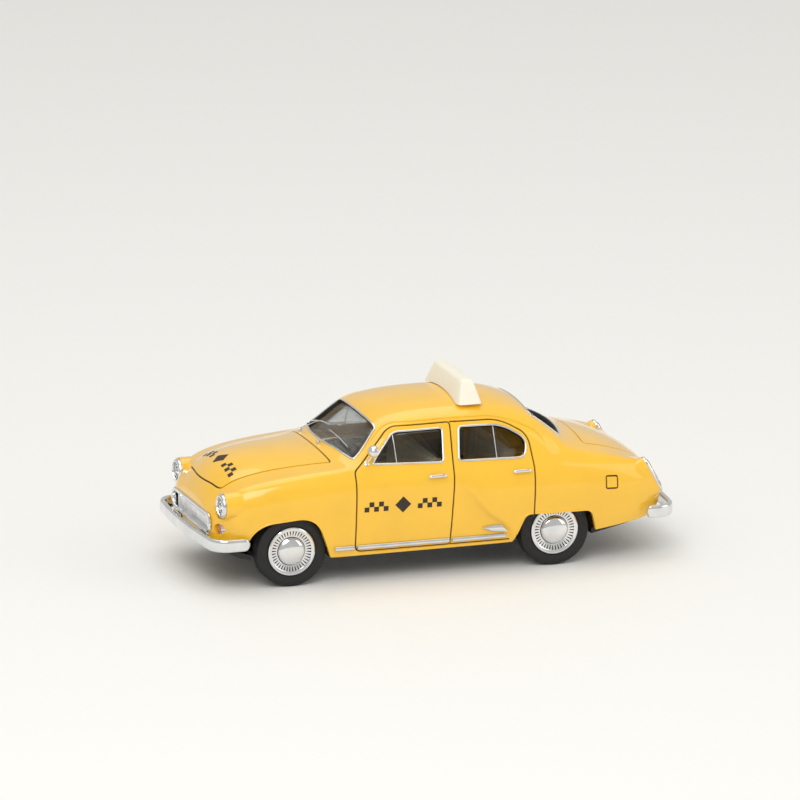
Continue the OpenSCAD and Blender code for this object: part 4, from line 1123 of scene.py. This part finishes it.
def make_handles():
    parts = []
    t = np.linspace(-1, 1, 24)
    bow = np.column_stack([HANDLE_HALF * t, 0.72 - 0.12 * t ** 4, 0.08 * (1 - t * t)])
    size = np.sqrt(1.02 - t ** 6)
    for x, z in HANDLES:
        root, _ = on_side(x, z)
        parts.append(sweep(root + bow, (0, 1, 0), round_section(0.72, 0.5, 16), False, size))
        for foot in HANDLE_FEET:
            parts.append(rod(root + (foot, 0, 0), (0, 1, 0), 0.36, -0.3, 0.7, 24))
    bright("door_handles", both(parts))


def make_sills():
    a = np.linspace(0, math.pi, 13)
    half_round = np.stack([0.55 * np.cos(a), 0.12 + 0.5 * np.sin(a)], -1)
    strips = []
    for start, end in SILL_RUNS:
        points, ups = on_side(np.linspace(start, end, 40), SILL_Z)
        strips.append(sweep(points, ups, half_round, False))
    bright("sill_mouldings", both(strips))
    bright("stone_guards", both([stone_guard()]))


def stone_guard():
    """Domed wedge that tapers forwards along the sill."""
    place, low, high = np.transpose(STONE_GUARD)
    x = np.linspace(place[0], place[-1], 36)[:, None]
    t = np.linspace(0, 1, 13)
    bottom, top = np.interp(x, place, low), np.interp(x, place, high)
    z = bottom + (top - bottom) * t
    upper, _ = on_side(x, z, 0.2 + 0.42 * np.sin(math.pi * t) ** 0.6)
    under, _ = on_side(x, z, 0.1)
    return slab(upper, under)


def make_mirror():
    """Cup with a glass that faces the tail, on a stem with a round foot."""
    r, depth = MIRROR_R, MIRROR_DEPTH
    rim = 0.35 * depth
    cup = [(0, 0.12), (r - 0.16, 0.12), (r - 0.12, 0), (r - 0.04, 0), (r, 0.12)]
    cup += dome(r, rim, depth - rim, 14)
    foot, up = on_side(*MIRROR_FOOT, 0.1)
    end = np.array(MIRROR) + (0.4 * depth, 0, -0.6 * r)
    stem = bend(foot, foot + up * 1.2, end, np.linspace(0, 1, 16)[:, None])
    button = [(0, -0.05), (0.62, -0.05), (0.6, 0.12), (0.35, 0.26), (0, 0.28)]
    bright("door_mirror", [lathe(cup, MIRROR, AHEAD, 64), sweep(stem, AHEAD, round_section(0.56, 0.5), False),
                           lathe(button, foot, up, 32)])


# Wheels

def wheel_barrel():
    """Profile of the hub, the web and the rim with its bright ring."""
    r, face = RIM_R, WHEEL_FACE
    hub = [(BORE_R, HUB_BACK), (HUB_R, HUB_BACK), (HUB_R, WEB_BACK)]
    edge = face - 0.3
    rim = [(r - RIM_WALL, WEB_BACK), (r - RIM_WALL, -edge), (r - 0.05, -edge), (r - 0.05, edge)]
    ring = [(r - 0.15, face - 0.05), (r - 0.4, face + 0.08), (r - 0.75, face + 0.04), (r - 1.02, face - 0.12),
            (r - RING_WIDTH, face - 0.35)]
    return hub + rim + ring + [(r - RING_WIDTH, WEB_FRONT), (BORE_R, WEB_FRONT)]


def wheel_cap():
    """Profile of the domed cap."""
    bulge = [(CAP_R, -0.5), (3.14, -0.12), (3.0, 0.12), (2.7, 0.34), (2.1, 0.56), (1.3, 0.72), (0.7, 0.78),
             (0, 0.8)]
    return [(r, WHEEL_FACE + height) for r, height in bulge] + [(0, CAP_FOOT), (CAP_R, CAP_FOOT)]


def wheel_step():
    """Profile of the bright step round the cap."""
    face, foot = WHEEL_FACE, 0.9
    return [(CAP_R, foot), (CAP_R, face - 0.66), (3.34, face - 0.4), (3.64, face - 0.34), (3.68, face - 0.6),
            (3.68, foot)]


def wheel_slot_shade():
    """Profile of the dark band between ring and cap: painted shade that stands for the dark slots between the
    ribs.
    """
    inner, outer, face = CAP_R - 0.1, RIM_R - 1, WHEEL_FACE
    return [(inner, CAP_FOOT), (inner, face - 0.7), (3.5, face - 0.45), (3.72, face - 0.8),
            (outer, face - 0.7), (outer, CAP_FOOT)]


def wheel_rib():
    """One bright rib on the dark band of painted shade."""
    face = WHEEL_FACE
    outline = [(RIB_R, face - 1), (RIM_R - 1.06, face - 1), (RIM_R - 1.04, face - 0.16), (RIB_R, face - 0.34)]
    return prism(outline, -RIB_HALF, RIB_HALF, 2)


def make_wheels(sizes):
    def turned(profile, steps=96):
        return lathe(profile, (0, 0, 0), (0, 1, 0), steps)

    ribs = repeated(wheel_rib(), sizes.ribs, turn=2 * math.pi / sizes.ribs)
    chrome = [turned(wheel_barrel()), turned(wheel_cap()), turned(wheel_step()), ribs]
    kinds = (("wheel_", chrome, "chrome", "wheel_chrome"),
             # Black band in each wheel: painted shade of the slots between the ribs
             ("wheel_band_", [turned(wheel_slot_shade())], "base", "wheel_chrome"),
             ("tyre_", [turned(tyre_profile(), 144)], "tyre", "tyre_rubber"))
    for end, x in AXLE_X.items():
        for side, sign in (("left", 1), ("right", -1)):
            place = (x, sign * TRACK / 2, AXLE_Z)
            for kind, parts, material, slot in kinds:
                name = f"{kind}{end}_{side}"
                facing = parts if sign > 0 else [mirrored(p) for p in parts]
                nodes = () if kind == "wheel_band_" else [name]
                piece(name, [moved(p, place) for p in facing], material, nodes, f"{end}_wheels")


def tyre_profile():
    """Closed section of the tyre with five grooves in its tread and a rib on each wall."""
    r, seat, half = TYRE_D / 2, RIM_R + 0.02, WHEEL_FACE
    wall = r - seat
    floor = r - GROOVE_DEPTH
    outer = [(r, 0.16)]
    for groove in TREAD_GROOVES:
        outer += [(r - 0.01, groove - 0.14), (floor, groove - 0.1), (floor, groove + 0.1),
                  (r - 0.02, groove + 0.14)]
    for a in np.linspace(0.15, 1.4, 7):
        outer.append((r - 0.5 + 0.48 * math.cos(a), half - 0.52 + 0.5 * math.sin(a)))
    outer += [(seat + wall * 0.6, half - 0.02), (seat + wall * 0.52, half), (seat + wall * 0.46, half - 0.06),
              (seat + 0.4, half - 0.06), (seat + 0.12, half - 0.16), (seat, half - 0.4)]
    inner = [(a, -b) for a, b in outer[::-1]]
    return [(r - 0.2, 0.1), *outer, *inner, (r - 0.2, -0.1)]


# Cabin and base

def bench(front, half, sizes):
    """Bench with upright pleats across its cushion and back."""
    depth, height, back = BENCH_DEPTH, BENCH_HEIGHT, BENCH_BACK
    corners = [(0, 0, 0.6), (0, height, 1.4), (-depth, height - 0.8, 0.3), (-depth - 0.6, back - 0.6, 0.7),
               (-depth - 2.6, back, 0.9), (-depth - 2.6, 0, 0.4)]
    line = fine(rounded(corners), 0.5)
    ahead = unit(np.roll(line, -1, 0) - np.roll(line, 1, 0))
    out = np.stack([-ahead[:, 1], ahead[:, 0]], -1)
    rings = []
    for y in np.linspace(-half, half, 140):
        pleat = abs(math.cos(math.pi * y / (sizes.pleat / MM))) ** 0.5
        end = min(1, (half - abs(y)) / 0.5)
        inset = PLEAT_DEPTH * (1 - pleat) + BENCH_EDGE * (1 - math.sqrt(1 - (1 - end) ** 2))
        points = line - out * inset + (front, FLOOR_TOP)
        rings.append(np.insert(points, 1, y, axis=1))
    return loft(rings)


def make_dashboard():
    top = DASH_RISE
    shape = rounded([(0, 5, 0.5), (0, top, 1), (-3.4, top - 0.4, 1.2), (-4, top - 3, 0.8),
                     (-1.4, top - 5, 0.8), (-1.2, 5, 0.3)])
    board = prism(shape + (DASH_X, DASH_BASE), -DASH_HALF, DASH_HALF, 1)
    piece("dashboard", [bevelled(board, 0.3)], "tub", ["dashboard"])
    ring = [(0.5, 0), (0.75, 0), (0.75, 0.2), (0.62, 0.28), (0.5, 0.2)]
    dials = [lathe(ring, (DASH_X - 3.86, y, DASH_BASE + top - 1.8), (-1, 0, 0.2), 40) for y in DIALS]
    piece("dial_rims", dials, "chrome")


def make_cabin(sizes):
    for name, (front, half) in BENCHES.items():
        piece(name, [bench(front, half, sizes)], "seat", [name])
    make_dashboard()
    dress_node("interior_tub", "tub")
    dress_node("steering_wheel", "ivory")


def dress_node(name, material):
    """Gives a node of the frame, which keeps its shape, its material."""
    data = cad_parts[name].data
    data.materials.clear()
    data.materials.append(MATERIALS[material])


def make_base():
    dress_node("chassis", "base")
    for node in ("chassis_screws", "front_axle", "rear_axle"):
        dress_node(node, "steel")
    # Dark walls in the front wheel wells: painted shade inside the arches
    piece("wheel_wells", both([box(WELL_SHADE_LOW, WELL_SHADE_HIGH)]), "base")


# Stage

def camera_axes():
    """Right, up and back of the photo's camera."""
    turn, lift, roll = (math.radians(a) for a in (CAMERA_TURN, CAMERA_LIFT, CAMERA_ROLL))
    back = Vector((math.sin(turn) * math.cos(lift), math.cos(turn) * math.cos(lift), math.sin(lift)))
    right = Vector((-math.cos(turn), math.sin(turn), 0))
    up = back.cross(right)
    c, s = math.cos(roll), math.sin(roll)
    return right * c + up * s, up * c - right * s, back


def make_camera():
    right, up, back = camera_axes()
    data = bpy.data.cameras.new("Photo camera")
    data.lens = CAMERA_LENS
    data.clip_end = 10
    camera = bpy.data.objects.new("Photo camera", data)
    bpy.context.scene.collection.objects.link(camera)
    aim = (Vector(AIM_FROM) + AIM_SHIFT[0] * right + AIM_SHIFT[1] * up) * MM
    turn = Matrix((right, up, back)).transposed().to_4x4()
    camera.matrix_world = Matrix.Translation(aim + back * CAMERA_DISTANCE * MM) @ turn
    bpy.context.scene.camera = camera


def softbox(name, place, size, power):
    """Square area light that faces the car."""
    data = bpy.data.lights.new(name, "AREA")
    data.energy = power
    data.size = size
    light = bpy.data.objects.new(name, data)
    bpy.context.scene.collection.objects.link(light)
    place = Vector(place)
    light.location = place
    light.rotation_euler = place.to_track_quat("Z", "Y").to_euler()


def make_stage():
    floor = new_object("floor", [box((-FLOOR_HALF, -FLOOR_HALF, -FLOOR_DEPTH), (FLOOR_HALF, FLOOR_HALF, 0))])
    floor.data.materials.append(moulded("Studio floor, painted board", "#F3F2EF", 0.6, 0.5, 0.0005, 1.01))
    make_camera()
    for light in LIGHTS:
        softbox(*light)
    world = bpy.data.worlds.new("Studio")
    world.use_nodes = True
    background = world.node_tree.nodes["Background"]
    background.inputs["Color"].default_value = linear(SKY_COLOUR)
    background.inputs["Strength"].default_value = SKY_STRENGTH
    bpy.context.scene.world = world
    bpy.context.scene.view_settings.view_transform = "Standard"


# Add-on: settings, operators and panel

class TaxiColours(bpy.types.PropertyGroup):
    """Colours of the taxi."""
    paint: bpy.props.FloatVectorProperty(
        name="Paint", description="Colour of the body", subtype="COLOR", size=3, min=0, max=1,
        default=linear("#F8C022")[:3])
    checker: bpy.props.FloatVectorProperty(
        name="Checkers", description="Colour of the printed checkers", subtype="COLOR", size=3, min=0, max=1,
        default=linear("#2E2218")[:3])
    sign: bpy.props.FloatVectorProperty(
        name="Sign", description="Colour of the roof sign", subtype="COLOR", size=3, min=0, max=1,
        default=linear("#F4EEDB")[:3])
    seat: bpy.props.FloatVectorProperty(
        name="Benches", description="Colour of the benches", subtype="COLOR", size=3, min=0, max=1,
        default=linear("#B3A892")[:3])


class TaxiSizes(bpy.types.PropertyGroup):
    """Sizes of the taxi's details."""
    seam_width: bpy.props.FloatProperty(
        name="Seam width", description="Width of the shut lines",
        default=0.34 * MM, min=0.1 * MM, max=0.6 * MM, unit="LENGTH", precision=5)
    seam_depth: bpy.props.FloatProperty(
        name="Seam depth", description="Depth of the shut lines",
        default=0.3 * MM, min=0.1 * MM, max=0.6 * MM, unit="LENGTH", precision=5)
    trim_width: bpy.props.FloatProperty(
        name="Window trim", description="Width of the bright window frames", default=0.42 * MM, min=0.3 * MM,
        max=0.9 * MM, unit="LENGTH", precision=5)
    checker: bpy.props.FloatProperty(
        name="Checker", description="Side of one printed square",
        default=1.14 * MM, min=0.8 * MM, max=1.3 * MM, unit="LENGTH", precision=5)
    pleat: bpy.props.FloatProperty(
        name="Pleat", description="Width of one pleat of the seats",
        default=2.0 * MM, min=1.0 * MM, max=4.0 * MM, unit="LENGTH", precision=5)
    ribs: bpy.props.IntProperty(
        name="Wheel ribs", description="Ribs between the ring and the cap of a wheel",
        default=40, min=12, max=48)


class TAXI_OT_materials(bpy.types.Operator):
    """Make the materials of the taxi"""
    bl_idname = "taxi.materials"
    bl_label = "Materials"

    def execute(self, context):
        make_materials(context.scene.taxi_colours)
        return {"FINISHED"}


class TAXI_OT_body(bpy.types.Operator):
    """Make the cast body with its openings and shut lines"""
    bl_idname = "taxi.body"
    bl_label = "Body"

    def execute(self, context):
        make_body(context.scene.taxi_sizes)
        return {"FINISHED"}


class TAXI_OT_windows(bpy.types.Operator):
    """Make the glazing, its frames and seals, and the wipers"""
    bl_idname = "taxi.windows"
    bl_label = "Windows"

    def execute(self, context):
        make_windows(context.scene.taxi_sizes)
        return {"FINISHED"}


class TAXI_OT_markings(bpy.types.Operator):
    """Print the checkers on the doors and the bonnet"""
    bl_idname = "taxi.markings"
    bl_label = "Markings"

    def execute(self, context):
        make_markings(context.scene.taxi_sizes)
        return {"FINISHED"}


class TAXI_OT_sign(bpy.types.Operator):
    """Make the roof sign"""
    bl_idname = "taxi.sign"
    bl_label = "Roof sign"

    def execute(self, context):
        make_sign()
        return {"FINISHED"}


class TAXI_OT_bumpers(bpy.types.Operator):
    """Make the bumpers and the grille"""
    bl_idname = "taxi.bumpers"
    bl_label = "Bumpers and grille"

    def execute(self, context):
        make_bumpers()
        make_grille()
        return {"FINISHED"}


class TAXI_OT_lamps(bpy.types.Operator):
    """Make the head lamps, direction lamps and tail lamps"""
    bl_idname = "taxi.lamps"
    bl_label = "Lamps"

    def execute(self, context):
        make_headlamps()
        make_indicators()
        make_tail_lamps()
        return {"FINISHED"}


class TAXI_OT_door_trim(bpy.types.Operator):
    """Make the handles, the mirror, the sill mouldings and the stone guards"""
    bl_idname = "taxi.door_trim"
    bl_label = "Door trim"

    def execute(self, context):
        make_handles()
        make_sills()
        make_mirror()
        return {"FINISHED"}


class TAXI_OT_wheels(bpy.types.Operator):
    """Make the wheels and tyres"""
    bl_idname = "taxi.wheels"
    bl_label = "Wheels"

    def execute(self, context):
        make_wheels(context.scene.taxi_sizes)
        return {"FINISHED"}


class TAXI_OT_cabin(bpy.types.Operator):
    """Make the seats and the dashboard"""
    bl_idname = "taxi.cabin"
    bl_label = "Cabin"

    def execute(self, context):
        make_cabin(context.scene.taxi_sizes)
        return {"FINISHED"}


class TAXI_OT_base(bpy.types.Operator):
    """Dress the base, its screws and the axles"""
    bl_idname = "taxi.base"
    bl_label = "Base"

    def execute(self, context):
        make_base()
        return {"FINISHED"}


class TAXI_OT_stage(bpy.types.Operator):
    """Set the floor, the lights and the camera"""
    bl_idname = "taxi.stage"
    bl_label = "Stage"

    def execute(self, context):
        make_stage()
        return {"FINISHED"}


OPERATORS = (TAXI_OT_materials, TAXI_OT_body, TAXI_OT_windows, TAXI_OT_markings, TAXI_OT_sign,
             TAXI_OT_bumpers, TAXI_OT_lamps, TAXI_OT_door_trim, TAXI_OT_wheels, TAXI_OT_cabin, TAXI_OT_base,
             TAXI_OT_stage)


class TAXI_PT_panel(bpy.types.Panel):
    """Settings and steps of the toy taxi"""
    bl_idname = "TAXI_PT_panel"
    bl_label = "Toy Taxi"
    bl_space_type = "VIEW_3D"
    bl_region_type = "UI"
    bl_category = "Toy Taxi"

    def draw(self, context):
        for group in (context.scene.taxi_colours, context.scene.taxi_sizes):
            column = self.layout.column()
            for key in group.__annotations__:
                column.prop(group, key)
        for operator in OPERATORS:
            self.layout.operator(operator.bl_idname)


CLASSES = (TaxiColours, TaxiSizes, *OPERATORS, TAXI_PT_panel)


def register():
    for item in CLASSES:
        bpy.utils.register_class(item)
    bpy.types.Scene.taxi_colours = bpy.props.PointerProperty(type=TaxiColours)
    bpy.types.Scene.taxi_sizes = bpy.props.PointerProperty(type=TaxiSizes)


def unregister():
    del bpy.types.Scene.taxi_sizes
    del bpy.types.Scene.taxi_colours
    for item in reversed(CLASSES):
        bpy.utils.unregister_class(item)


def main():
    register()
    bpy.ops.taxi.materials()
    bpy.ops.taxi.body()
    bpy.ops.taxi.windows()
    bpy.ops.taxi.markings()
    bpy.ops.taxi.sign()
    bpy.ops.taxi.bumpers()
    bpy.ops.taxi.lamps()
    bpy.ops.taxi.door_trim()
    bpy.ops.taxi.wheels()
    bpy.ops.taxi.cabin()
    bpy.ops.taxi.base()
    bpy.ops.taxi.stage()


if __name__ == "__main__":
    main()
